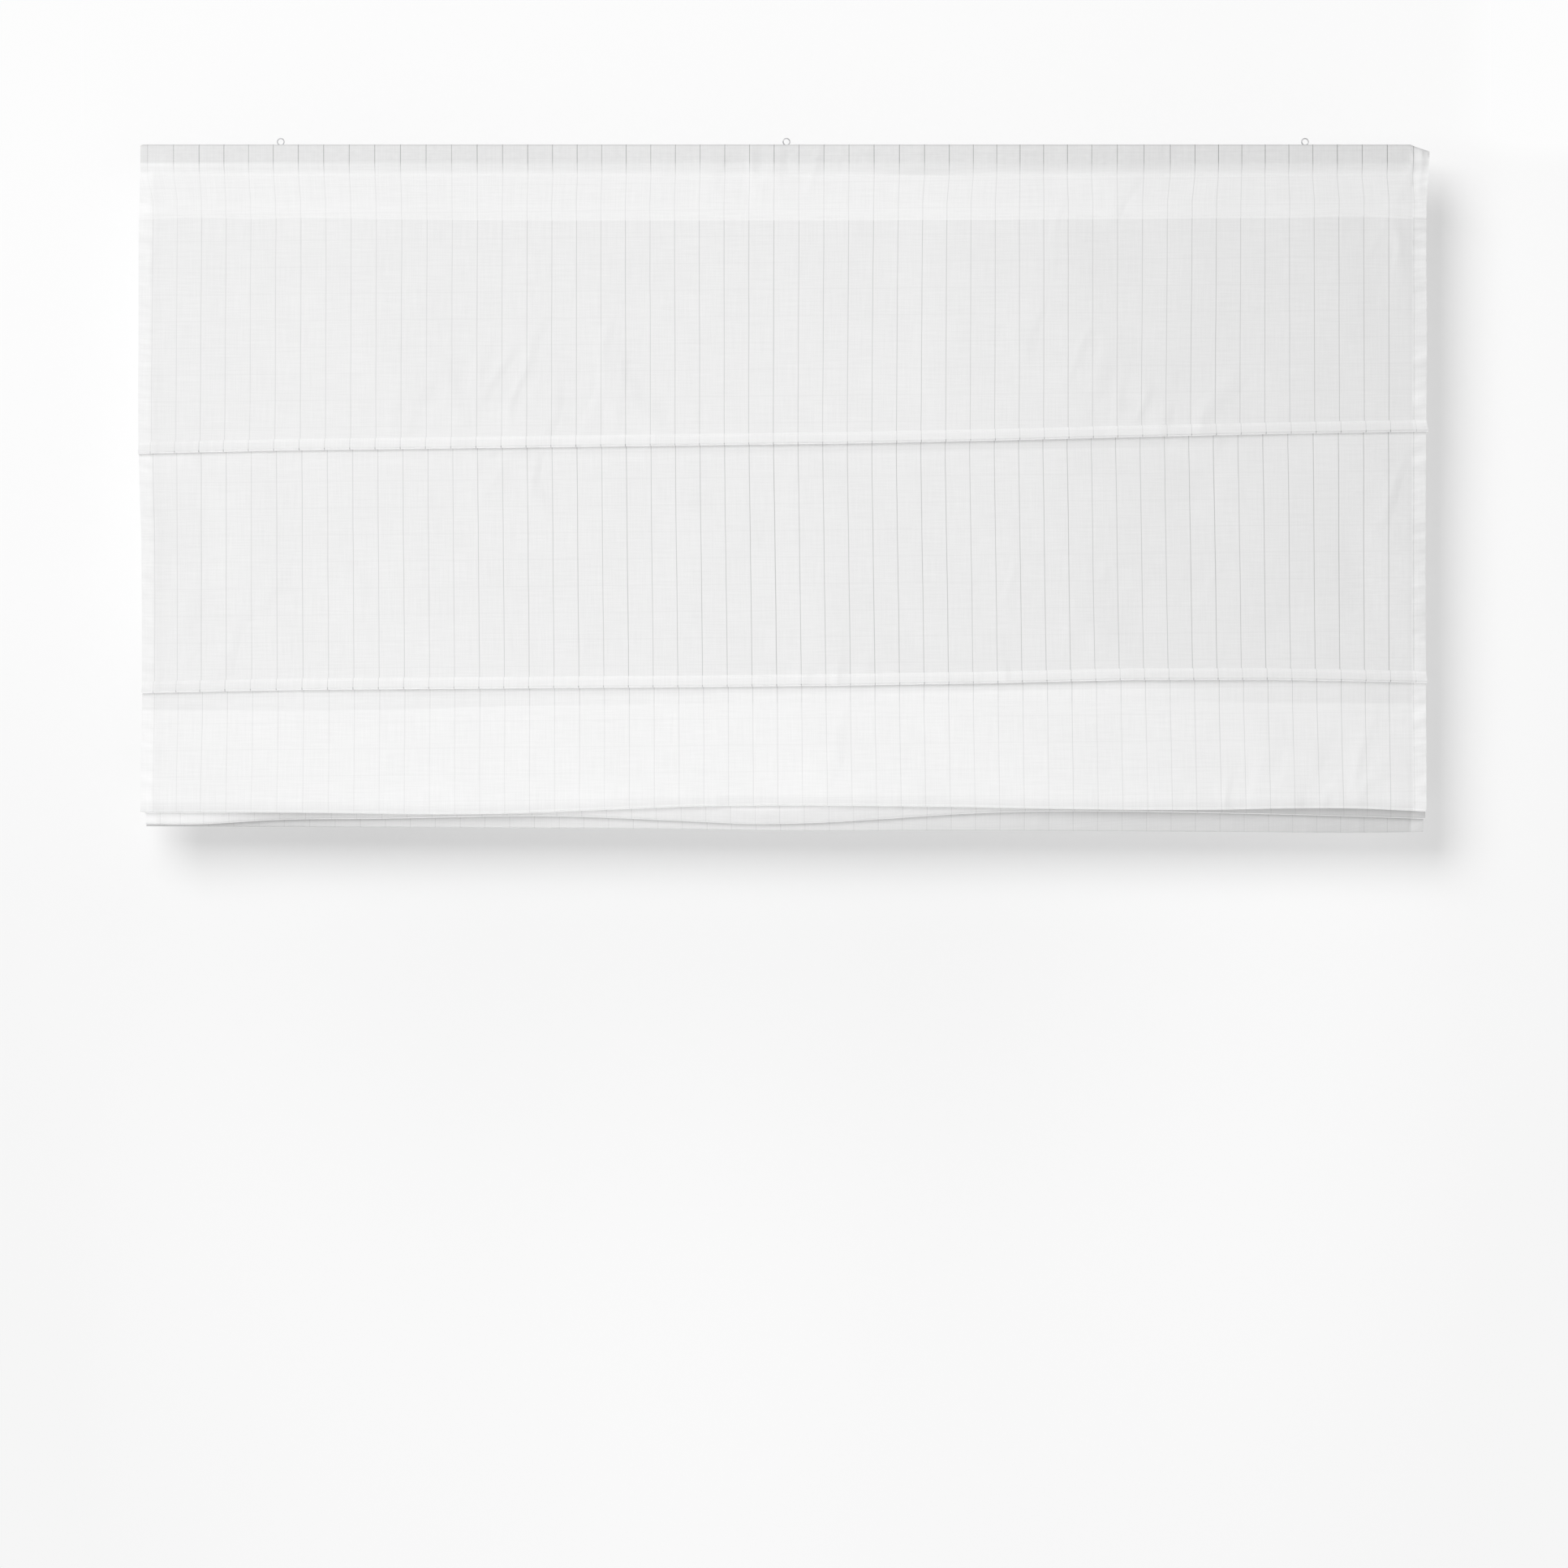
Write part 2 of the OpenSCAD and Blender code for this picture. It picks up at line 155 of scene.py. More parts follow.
class Wire:
    """A socket in a node tree. Sums, products and the like of wires add Math nodes."""

    def __init__(self, finish, socket):
        self.finish = finish
        self.socket = socket

    def math(self, operation, *values):
        sockets = dict(enumerate((self, *values)))
        return self.finish.node("ShaderNodeMath", {"operation": operation}, sockets)

    def __add__(self, other):
        return self.math("ADD", other)

    def __sub__(self, other):
        return self.math("SUBTRACT", other)

    def __mul__(self, other):
        return self.math("MULTIPLY", other)

    def __truediv__(self, other):
        return self.math("DIVIDE", other)

    def __rsub__(self, other):
        return self.finish.node("ShaderNodeMath", {"operation": "SUBTRACT"}, {0: other, 1: self})

    def __abs__(self):
        return self.math("ABSOLUTE")

    __radd__ = __add__
    __rmul__ = __mul__

    def ramp(self, low, high, start=0.0, end=1.0):
        """A smooth step: start below low, end above high."""
        return self.finish.node(
            "ShaderNodeMapRange",
            {"interpolation_type": "SMOOTHSTEP"},
            {"Value": self, "From Min": low, "From Max": high, "To Min": start, "To Max": end},
        )


class Finish:
    """The nodes of one material or world."""

    def __init__(self, owner):
        owner.use_nodes = True
        self.owner = owner
        self.tree = owner.node_tree
        self.tree.nodes.clear()

    def node(self, kind, settings=None, sockets=None, output=0):
        """Adds a node: its settings first, then the values and links of its sockets."""
        made = self.tree.nodes.new(kind)
        for key, value in (settings or {}).items():
            setattr(made, key, value)
        for key, value in (sockets or {}).items():
            if isinstance(value, Wire):
                self.tree.links.new(value.socket, made.inputs[key])
            else:
                made.inputs[key].default_value = value
        return Wire(self, made.outputs[output]) if made.outputs else None

    def vector(self, x, y, z=0.0):
        return self.node("ShaderNodeCombineXYZ", None, {"X": x, "Y": y, "Z": z})

    def parts(self, vector):
        wires = self.node("ShaderNodeSeparateXYZ", None, {0: vector})
        return [Wire(self, socket) for socket in wires.socket.node.outputs]

    def place(self):
        """A point's place in the object's own frame, as x, y and z."""
        return self.parts(self.node("ShaderNodeTexCoord", output="Object"))

    def painted(self, name):
        """A value painted on the points of the mesh."""
        return self.node("ShaderNodeAttribute", {"attribute_name": name}, output="Fac")

    def noise(self, vector, scale=1.0, detail=2.0, roughness=0.5):
        return self.node(
            "ShaderNodeTexNoise",
            {"noise_dimensions": "3D"},
            {"Vector": vector, "Scale": scale, "Detail": detail, "Roughness": roughness},
        )

    def seen(self):
        """One for rays from the camera, straight or by way of gloss or glass, and zero for the rest."""
        rays = self.node("ShaderNodeLightPath").socket.node.outputs
        kinds = ("Is Camera Ray", "Is Glossy Ray", "Is Transmission Ray")
        straight, gloss, glass = (Wire(self, rays[kind]) for kind in kinds)
        return (straight + gloss + glass).math("MINIMUM", 1.0)

    def blend(self, share, first, second):
        """A colour that runs from first to second."""
        rgba = [c if isinstance(c, Wire) else (*c, 1.0) for c in (first, second)]
        return self.node(
            "ShaderNodeMix", {"data_type": "RGBA"}, {0: share, 6: rgba[0], 7: rgba[1]}, output=2
        )

    def scaled(self, colour, share):
        """A colour made darker or paler."""
        return self.node(
            "ShaderNodeVectorMath", {"operation": "SCALE"}, {0: colour, "Scale": share}
        )

    def bump(self, height, strength, distance):
        return self.node(
            "ShaderNodeBump", None, {"Height": height, "Strength": strength, "Distance": distance}
        )

    def surface(self, shader):
        self.node("ShaderNodeOutputMaterial", None, {"Surface": shader})
        return self.owner

    def principled(self, **sockets):
        named = {key.replace("_", " "): value for key, value in sockets.items()}
        return self.surface(self.node("ShaderNodeBsdfPrincipled", None, named))


def new_finish(name):
    return Finish(bpy.data.materials.new(name))


def cotton_finish(cloth, colours, width):
    """Plain weave with slubs, crossed by drawn-thread lines; painted light and shade, and line strength,
    follow the folds.
    """
    f = new_finish("cotton")
    u, v, _ = f.parts(f.node("ShaderNodeUVMap", {"uv_map": "weave"}))
    # Painted light and shade on the mesh's points: paler where layers lie double, darker in the shade of
    # batten, tucks and folds
    tone = f.painted("tone")
    line = f.painted("line")

    def uneven(over, down, layer=0.0, roughness=0.5):
        """Noise about zero, of so many waves a metre across the cloth and down it."""
        place = f.vector(u * over, v * down, layer)
        return f.noise(place, detail=3.0, roughness=roughness) - 0.5

    # Each drawn line wanders a little and has its own strength, with a row of holes along it; how dark they
    # show is partly painted shade seen through the holes
    hole_pitch, rung_off = 2.1 * MM, 1.7 * MM
    half = cloth.stripe_width / 2
    across = (u - cloth.stripe_first) / cloth.stripe_pitch + uneven(7.0, 6.0) * 0.05
    index = across.math("ROUND")
    off = (across - index) * cloth.stripe_pitch
    own = f.node("ShaderNodeTexWhiteNoise", {"noise_dimensions": "1D"}, {"W": index})
    drawn = abs(off).ramp(half * 0.45, half * 1.25, 1.0, 0.0)
    holes = (v / hole_pitch).math("FRACT").ramp(0.25, 0.55, 0.55, 1.0)
    gaps = drawn * holes * line * own.ramp(0.0, 1.0, 0.82, 1.1)
    rungs = abs(off - rung_off).ramp(0.2 * MM, 1.0 * MM, 1.0, 0.0) * line

    # Uneven threads run up and across, and the band over the batten is blotchy
    warp = uneven(640.0, 22.0, roughness=0.6)
    weft = uneven(24.0, 560.0, 4.0, roughness=0.6)
    cloud = uneven(14.0, 14.0, 9.0)
    blotch = uneven(130.0, 170.0, 2.0) * line.ramp(0.84, 0.9)
    slubs = 1.0 + warp * 0.105 + weft * 0.105 + cloud * 0.04 + blotch * 0.09

    # Puckers in the side hems, deeper on the right, as bumps and as painted shade in the colour, and a few
    # soft creases in the panels
    out = abs(u - width / 2)
    hem_edge, blur = width / 2 - cloth.side_hem, 1.5 * MM
    pucker = f.noise(f.vector(u * 16.0, v * 78.0 + out * 18.0, 6.0)) - 0.5
    pucker = pucker * out.ramp(hem_edge - blur, hem_edge + blur) * u.ramp(0.3, 1.3, 0.7, 1.4)
    swirl = f.noise(f.vector(u * 9.0 + v * 3.0, v * 4.0, 3.0)) - 0.5
    where = f.noise(f.vector(u * 3.0, v * 5.0, 7.0), detail=1.0).ramp(0.5, 0.66)
    crease = abs(swirl).ramp(0.0, 0.07, 1.0, 0.0) * where

    # Faint lines across, where a thicker thread was woven in
    level = (v + u * 0.01 - cloth.pick_first) / cloth.pick_pitch
    picks = abs(level - level.math("ROUND")).ramp(0.008, 0.028, 1.0, 0.0) * (0.4 + weft * 1.5)
    # The colour: the painted shading, slubs, the drawn lines' holes, the weft lines and the puckers' painted
    # shade
    shade = tone * slubs * (1.0 - gaps * 0.5) * (1.0 - picks * 0.06) * (1.0 + pucker * 0.2)

    # Threads over and under, about nineteen to the centimetre
    turns = 6000.0
    plain = (u * turns).math("SINE") * (v * turns).math("SINE")
    height = plain * 0.25 + warp + weft - gaps * 0.8 + pucker * 6.0 + crease * 26.0
    return f.principled(
        Base_Color=f.scaled(colours.cotton, shade + rungs * 0.012),
        Roughness=0.9 + warp * 0.12,
        Specular_IOR_Level=0.25,
        Sheen_Weight=0.08,
        Sheen_Roughness=0.5,
        Normal=f.bump(height, 0.22, 0.25 * MM),
    )


def thread_finish(colours):
    """Twisted sewing thread."""
    f = new_finish("sewing_thread")
    x, y, z = f.place()
    fuzz = f.noise(f.vector(x, y, z), scale=900.0, detail=3.0)
    twist = ((x + z) * 5200.0).math("SINE")
    return f.principled(
        Base_Color=f.scaled(colours.thread, 0.93 + fuzz * 0.10 + twist * 0.02),
        Roughness=0.72 + fuzz * 0.2,
        Specular_IOR_Level=0.3,
        Sheen_Weight=0.1,
        Normal=f.bump(twist * 0.5 + fuzz, 0.3, 0.08 * MM),
    )


def pine_finish(colours):
    """Straight-grained pine, planed, with pores along the grain."""
    f = new_finish("pine")
    x, y, z = f.place()
    waver = f.noise(f.vector(x * 1.6, y * 9.0, z * 9.0), detail=3.0)
    rings = (z * 620.0 + y * 240.0 + waver * 9.0).math("SINE")
    pores = f.noise(f.vector(x * 18.0, y * 900.0, z * 900.0), detail=3.0, roughness=0.6)
    grain = rings.ramp(-0.3, 1.0) * 0.6 + pores.ramp(0.45, 0.75) * 0.35
    return f.principled(
        Base_Color=f.blend(grain, colours.pine_pale, colours.pine_dark),
        Roughness=0.52 + pores * 0.25,
        Specular_IOR_Level=0.35,
        Normal=f.bump(pores - grain * 0.4, 0.25, 0.2 * MM),
    )


def zinc_finish(colours):
    """Bright zinc plate on wire, dulled in patches."""
    f = new_finish("zinc_wire")
    x, y, z = f.place()
    patch = f.noise(f.vector(x, y, z), scale=420.0, detail=4.0)
    drawn = f.noise(f.vector(x * 300.0, y * 2600.0, z * 300.0))
    dull = tuple(0.72 * c for c in colours.zinc)
    return f.principled(
        Base_Color=f.blend(patch.ramp(0.35, 0.65), dull, colours.zinc),
        Metallic=0.85,
        Roughness=0.30 + patch * 0.22,
        Normal=f.bump(drawn, 0.15, 0.05 * MM),
    )


def fibreglass_finish(colours):
    """Pulled fibreglass rod, with fibres along its length."""
    f = new_finish("fibreglass")
    x, y, z = f.place()
    fibre = f.noise(f.vector(x * 9.0, y * 2200.0, z * 2200.0), detail=3.0, roughness=0.6)
    pale = tuple(min(1.0, 1.12 * c) for c in colours.glass)
    return f.principled(
        Base_Color=f.blend(fibre.ramp(0.35, 0.7), colours.glass, pale),
        Roughness=0.34 + fibre * 0.2,
        Coat_Weight=0.15,
        Normal=f.bump(fibre, 0.2, 0.06 * MM),
    )


def steel_finish(colours):
    """Galvanised steel with a spangle of zinc crystals."""
    f = new_finish("galvanised_steel")
    x, y, z = f.place()
    cells = {"Vector": f.vector(x, y, z), "Scale": 130.0}
    spangle = f.node("ShaderNodeTexVoronoi", {"feature": "F1"}, cells, "Color")
    crystal = f.parts(spangle)[0]
    scuff = f.noise(f.vector(x * 40.0, y * 900.0, z * 900.0), detail=3.0)
    dark = tuple(0.7 * c for c in colours.steel)
    return f.principled(
        Base_Color=f.blend(crystal * 0.8 + scuff * 0.2, dark, colours.steel),
        Metallic=0.9,
        Roughness=0.36 + crystal * 0.16 + scuff * 0.1,
        Normal=f.bump(scuff, 0.1, 0.05 * MM),
    )


def plastic_finish(colours):
    """Milky moulded plastic, scuffed where cords run."""
    f = new_finish("ring_plastic")
    x, y, z = f.place()
    milk = f.noise(f.vector(x, y, z), scale=160.0, detail=3.0)
    scuff = f.noise(f.vector(x, y, z), scale=1500.0, detail=3.0)
    warm = tuple(c * k for c, k in zip(colours.plastic, (0.93, 0.92, 0.88)))
    return f.principled(
        Base_Color=f.blend(milk.ramp(0.3, 0.7), warm, colours.plastic),
        Roughness=0.26 + scuff.ramp(0.4, 0.7) * 0.2,
        Coat_Weight=0.1 + milk * 0.1,
        Normal=f.bump(scuff, 0.08, 0.04 * MM),
    )


def backdrop_finish(name, colour, glow):
    """A pale surface seen from its front only, which lets light through from behind."""
    f = new_finish(name)
    x, _, z = f.place()

    # Paint with painted shade: a little deeper at the upper left, against the key lamp's stronger light, and
    # below the blind, where it deepens the blind's cast shadow and dims the fill lamp's pool
    deep = tuple(0.92 * c for c in colour)
    shade = f.blend((x * 0.5 - z * 0.2).ramp(-0.6, 0.6), deep, colour)
    low = 0.88 + x.ramp(0.1, 0.85, 0.0, 0.12) + x.ramp(-0.9, -0.3, 0.06, 0.0)
    shade = f.scaled(shade, low + (1.0 - low) * z.ramp(-1.0, -0.5))
    paint = f.node("ShaderNodeBsdfDiffuse", None, {"Color": shade})

    # Glow, which hides the shadows towards the sides, the foot and the top
    tint = f.blend(z.ramp(-1.6, 0.1), tuple(0.94 * c for c in colour), colour)
    light = f.node("ShaderNodeEmission", None, {"Color": tint, "Strength": 1.0})
    sides = abs(x).ramp(0.5, 0.8, 0.0, 0.12) + abs(x).ramp(0.82, 0.93, 0.0, 0.45)
    ends = z.ramp(-1.8, -1.1, 0.5, 0.0) + z.ramp(-0.03, 0.03, 0.0, 0.5)
    share = (sides + ends + glow).math("MINIMUM", 1.0)
    lit = f.node("ShaderNodeMixShader", None, {0: share, 1: paint, 2: light})

    facing = 1.0 - f.node("ShaderNodeNewGeometry", output="Backfacing")
    clear = f.node("ShaderNodeBsdfTransparent")
    return f.surface(f.node("ShaderNodeMixShader", None, {0: f.seen() * facing, 1: clear, 2: lit}))


def ease(t):
    return t * t * (3.0 - 2.0 * t)


def smooth(low, high, value):
    """A smooth step from zero at low to one at high."""
    return ease(np.clip((value - low) / (high - low), 0.0, 1.0))


def bell(value, middle, width):
    """One in the middle, falling off to both sides."""
    return np.exp(-(((value - middle) / width) ** 2))


def curve(points, at):
    """A smooth curve through (place, value) points."""
    places, values = np.array(points, float).T
    slopes = np.gradient(values, places)
    k = np.clip(np.searchsorted(places, at, side="right") - 1, 0, len(places) - 2)
    span = places[k + 1] - places[k]
    t = np.clip((at - places[k]) / span, 0.0, 1.0)
    rise = t * (1 - t) ** 2 * slopes[k] + t * t * (t - 1) * slopes[k + 1]
    return (1 + 2 * t) * (1 - t) ** 2 * values[k] + ease(t) * values[k + 1] + span * rise


def ripples(rng, x, z, count, shortest, longest):
    """Soft random waves over the cloth, about one unit deep."""
    total = np.zeros(np.broadcast(x, z).shape)
    for _ in range(count):
        wave = 2 * pi / rng.uniform(shortest, longest)
        lean = rng.uniform(-1.1, 1.1)
        phase = rng.uniform(0, 2 * pi)
        total += np.sin(wave * (math.cos(lean) * x + math.sin(lean) * z) + phase)
    return total / math.sqrt(count)


def rod_line(name, x):
    """Depth, and heights across the cloth, of a rod's axis in the packed frame."""
    points = np.array([v.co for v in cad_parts[name].data.vertices], float)
    points = points[np.argsort(points[:, 0])]
    rings = np.split(points, np.nonzero(np.diff(points[:, 0]) > 5 * MM)[0] + 1)
    middles = np.array([(ring.min(0) + ring.max(0)) / 2 for ring in rings])
    along, heights = middles[:, 0], middles[:, 2]
    height = np.interp(x, along, heights)
    for end, inner in ((0, 1), (-1, -2)):
        slope = (heights[end] - heights[inner]) / (along[end] - along[inner])
        past = np.minimum(x - along[0], 0) if end == 0 else np.maximum(x - along[-1], 0)
        height = height + slope * past
    return middles[0, 1], height


# Room round the pieces in the cloth, in metres
ROD_EASE, BAR_EASE, BATTEN_EASE = 0.2 * MM, 0.15 * MM, 0.4 * MM
# The batten's round edge, the bar's height and the raw edge turned in below it, in metres
BATTEN_EDGE, BAR_HEIGHT, BOTTOM_TURN = 1.5 * MM, 16 * MM, 9 * MM


def layers(cloth):
    """Where the cloth's layers, seams and folds lie, from its sizes and the packed frame."""
    low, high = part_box("cloth")
    batten_low, batten_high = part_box("head_batten")
    rod_low, rod_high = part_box("tuck_rod_1")
    bar_low, bar_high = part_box("bottom_bar")
    lay = SimpleNamespace(x0=low.x, x1=high.x, width=high.x - low.x, top=high.z)
    t = cloth.thickness
    lay.front, lay.back = t / 2, 1.5 * t
    lay.backs = 2 * lay.back + cloth.press
    lay.fronts = 2 * lay.front + 2 * cloth.press
    lay.mixed = lay.front + lay.back + cloth.press
    lay.turn = lay.fronts / 2
    lay.panel = [-(lay.mixed + lay.backs) / 2 + i * (lay.backs + lay.fronts) for i in range(3)]
    lay.loop = (rod_high.y - rod_low.y) / 2 + ROD_EASE + lay.back
    lay.wrap = lay.loop + lay.fronts
    lay.rod_drop = cloth.tuck - lay.loop - lay.front
    lay.fold_a = lay.panel[2] + cloth.bend - cloth.swing
    lay.fold_b = lay.fold_a + 2 * cloth.bend + lay.backs + lay.fronts
    lay.last = lay.fold_b + cloth.bend + lay.fronts + lay.front
    lay.bar_loop = (bar_high.y - bar_low.y) / 2 + BAR_EASE + lay.back
    lay.batten_bottom = batten_low.z
    lay.channel = batten_low.z - cloth.channel
    lay.half = batten_high.y + BATTEN_EASE + lay.back
    lay.corner = BATTEN_EDGE + BATTEN_EASE + lay.back
    lay.droop_x = batten_high.x + BATTEN_EASE
    return lay


def mesh_columns(cloth, lay):
    """Places across the width, closer together in the hems and at the loose corner."""
    hem = round(cloth.side_hem / MM, 3)
    left = np.array([0, 1.5, 4, 7.5, 11, 14.5, hem, hem + 0.6, hem + 6, hem + 14]) * MM
    right = [hem + past for past in (27, 19, 12, 7, 4, 2.8, 1.6, 0.6, 0)]
    right = np.array([*right, *np.linspace(hem - 1.4, 3, 10), 1.5, 0]) * MM
    middle = np.linspace(lay.x0 + left[-1] + 12 * MM, lay.x1 - right[0] - 11 * MM, 98)
    return np.concatenate([lay.x0 + left, middle, lay.x1 - right])


class FoldPath:
    """Rows of cloth across its width, one after the other along the cloth."""

    KEYS = ("y", "z", "tone", "line", "drift", "left", "right")

    def __init__(self, count):
        self.count = count
        self.rows = []
        self.paint = {"tone": 1.0, "line": 0.5, "drift": 0.0, "left": 0.0, "right": 0.0}
        self.marks = {}

    def row(self, y, z, paint):
        self.paint.update(paint)
        values = {"y": y, "z": z, **self.paint}
        return np.array([np.broadcast_to(values[key], self.count) for key in self.KEYS], float)

    def to(self, y, z, **paint):
        """Adds one row."""
        self.rows.append(self.row(y, z, paint))

    def run(self, y, z, steps=1, depth=lambda t: t, **paint):
        """On to a row in even steps, its paint running to new values."""
        start = self.rows[-1]
        end = self.row(y, z, paint)
        for step in range(1, steps + 1):
            t = step / steps
            row = start + (end - start) * t
            row[0] = start[0] + (end[0] - start[0]) * depth(t)
            self.rows.append(row)

    def hang(self, y, z, steps, **paint):
        """On to a row in a soft drape that leaves and arrives upright."""
        self.run(y, z, steps, depth=ease, **paint)

    def sweep(self, cy, cz, r, start, end, steps, **paint):
        """Round an arc in the section; angles in radians."""
        for step in range(1, steps + 1):
            a = start + (end - start) * step / steps
            self.to(cy + r * np.cos(a), cz + r * np.sin(a), **paint)

    def mark(self, name):
        self.marks[name] = len(self.rows) - 1

    def grids(self):
        return dict(zip(self.KEYS, np.stack(self.rows, axis=1)))


def touch(py, pz, cy, cz, r):
    """Angle on a circle where the taut line from a point meets its front side."""
    return np.arctan2(pz - cz, py - cy) + np.arccos(r / np.hypot(pz - cz, py - cy))


# Over the share of the width, in mm: bottom edges of the two hanging folds and of the cloth, the
# end of the top hem, and the top of the layers that show through the front fold
FOLD_A = [(0, -3.2), (0.10, -3.6), (0.29, -4.6), (0.34, -1.6), (0.43, 3.8), (0.52, 5.0),
          (0.62, 3.6), (0.775, -0.2), (0.84, 0.0), (0.90, 1.6), (0.95, 1.2), (1, -2.4)]
FOLD_B = [(0, -2.8), (0.04, -3.1), (0.11, 2.8), (0.18, 4.0), (0.33, 6.8), (0.42, 1.4),
          (0.48, -2.6), (0.51, -2.0), (0.585, 4.4), (0.63, 9.2), (0.87, 10.0), (0.95, 6.6), (1, 4.0)]
BOTTOM = [(0, 1.0), (0.18, 1.0), (0.43, 0.0), (0.52, -1.2), (0.62, 0.2), (0.84, 0.0),
          (0.98, 0.4), (1, 1.2)]
HEM_END = [(0, 0.0), (0.045, 2.9), (0.09, 1.2), (0.13, 2.8), (0.17, 1.2), (0.25, -0.3),
           (0.5, -0.8), (0.7, 0.5), (0.84, 2.0), (0.9, 2.8), (0.96, 3.4), (1, 0.2)]
LAYER_TOP = [(0, -11.0), (0.2, -10.0), (0.3, -5.5), (0.45, -2.5), (0.6, 0.0), (0.8, -1.0), (1, -3.0)]
# Painted light and shade of the single layer above those layers
STEP_SHADING = [(0, 0.97), (0.05, 0.98), (0.1, 1.0), (0.25, 0.995), (0.5, 1.05), (0.73, 1.07),
             (0.9, 1.01), (1, 0.995)]
# Painted shade on the last panel, which lies in the shade of the folds in front of it
LAST_SHADE = [(0, 0.74), (0.1, 0.73), (0.2, 0.82), (0.5, 0.87), (0.75, 0.82), (1, 0.77)]
# Painted light and shade just under the batten, where the cloth turns back
UNDER_BATTEN_SHADING = [(0, 1.07), (0.1, 1.01), (0.25, 0.975), (0.37, 0.975), (0.5, 1.005), (0.62, 0.98),
              (0.73, 0.94), (0.9, 0.965), (1, 0.965)]
# Painted shade on the second hanging fold, which lies mostly in the shade of the first
FOLD_B_SHADE = [(0, 1.0), (0.05, 0.97), (0.1, 0.79), (0.2, 0.84), (0.35, 0.9), (0.5, 0.92),
               (0.7, 0.82), (0.9, 0.68), (1, 0.68)]
# Painted light on the tucks' faces, which show two layers, and painted shadow under the tucks
FACE_LIGHT = [(0, 1.01), (0.1, 1.04), (0.3, 1.07), (0.5, 1.085), (0.7, 1.085), (0.9, 1.065), (1, 1.065)]
UNDER_SHADE = [(0, -0.02), (0.1, -0.045), (0.3, -0.07), (0.5, -0.09), (0.7, -0.13), (0.85, -0.09),
               (0.92, -0.05), (1, -0.04)]
# How far the drawn lines stand to the right of an even spacing, over the share of the width, in mm
LEAN = {
    "band": [(0, -8.6), (0.03, -4.6), (0.11, -3.2), (0.18, -0.4), (0.3, 5.5), (0.41, 4.4), (0.55, 4.9),
             (0.64, 6.4), (0.7, 1.2), (0.74, -0.7), (0.81, 5.0), (0.87, 0.2), (0.91, -2.5), (1, -1.5)],
    "panel_1": [(0, 1.0), (0.07, -1.0), (0.13, 0.0), (0.3, 4.7), (0.41, 3.4), (0.6, 4.6), (0.72, 1.1),
                (0.82, 1.3), (0.9, -0.7), (1, 0.2)],
    "tuck_1": [(0, -0.2), (0.05, -2.7), (0.16, 0.2), (0.3, 3.8), (0.5, 3.3), (0.68, 1.6), (0.86, -0.4),
               (0.93, 0.6), (1, 0.4)],
    "panel_2": [(0, 1.4), (0.03, -1.2), (0.09, -0.5), (0.16, 2.3), (0.3, 4.6), (0.49, 3.8), (0.68, 1.0),
                (0.76, -1.3), (0.87, -2.8), (0.93, -1.0), (1, 0.4)],
    "tuck_2": [(0, 0.0), (0.03, -1.5), (0.16, 4.0), (0.3, 7.1), (0.49, 7.2), (0.68, 5.0), (0.78, 2.9),
               (0.88, 1.3), (1, 0.5)],
    "fold_a": [(0, -1.5), (0.09, 1.1), (0.16, 4.4), (0.3, 7.6), (0.49, 8.3), (0.59, 6.4), (0.68, 6.4),
               (0.78, 5.4), (0.93, 2.8), (1, 0.0)],
    "fold_a_end": [(0, 0.7), (0.03, -2.0), (0.09, 0.0), (0.16, 3.9), (0.3, 7.6), (0.51, 9.2), (0.68, 7.7),
                   (0.88, 6.7), (0.93, 5.5), (1, 0.0)],
}
# Strength of the drawn lines in the panels, partly painted shade: they show darker where shade shows through
# their holes
PANEL_LINE = [(0, 0.33), (0.1, 0.34), (0.2, 0.36), (0.345, 0.51), (0.47, 0.65), (0.6, 0.60),
              (0.72, 0.57), (0.84, 0.59), (0.95, 0.68), (1, 0.68)]
# Creases in the panels: both ends in x and z, half width and depth, in mm
CREASES = [
    (-725, -429, -713, -631, 16, 1.4), (-523, -480, -536, -535, 17, 1.1), (418, -444, 484, -396, 15, -1.1),
    (484, -467, 538, -401, 16, 1.3), (418, -618, 451, -575, 16, 1.1), (335, -470, 365, -419, 17, 1.0),
    (-99, -419, -79, -455, 16, 1.0), (-131, -190, -123, -226, 18, 0.9), (700, -470, 722, -600, 15, 1.2),
    (-700, -130, -694, -235, 15, 1.0), (-770, -600, -760, -450, 12, 0.8), (590, -640, 640, -560, 17, 1.0),
]
# Side edges, over the height in metres, outwards positive, in mm
LEFT_EDGE = [(-0.86, -2.0), (-0.83, -1.9), (-0.68, -3.2), (-0.56, -3.0), (-0.48, -2.2), (-0.43, -0.4),
             (-0.38, 0.7), (-0.23, 0.6), (-0.06, -0.8), (-0.03, -2.0), (0, -2.2)]
RIGHT_EDGE = [(-0.86, 0.6), (-0.68, 0.8), (-0.62, 0.3), (-0.39, 0.5), (-0.33, 0.9), (-0.23, 1.4),
              (-0.126, 0.8), (-0.06, 1.8), (-0.02, 4.6), (0, 5.0)]
# Painted light on the back of a tuck or fold near its bottom edge, as if lit from below
LIT_BELOW = 1.22


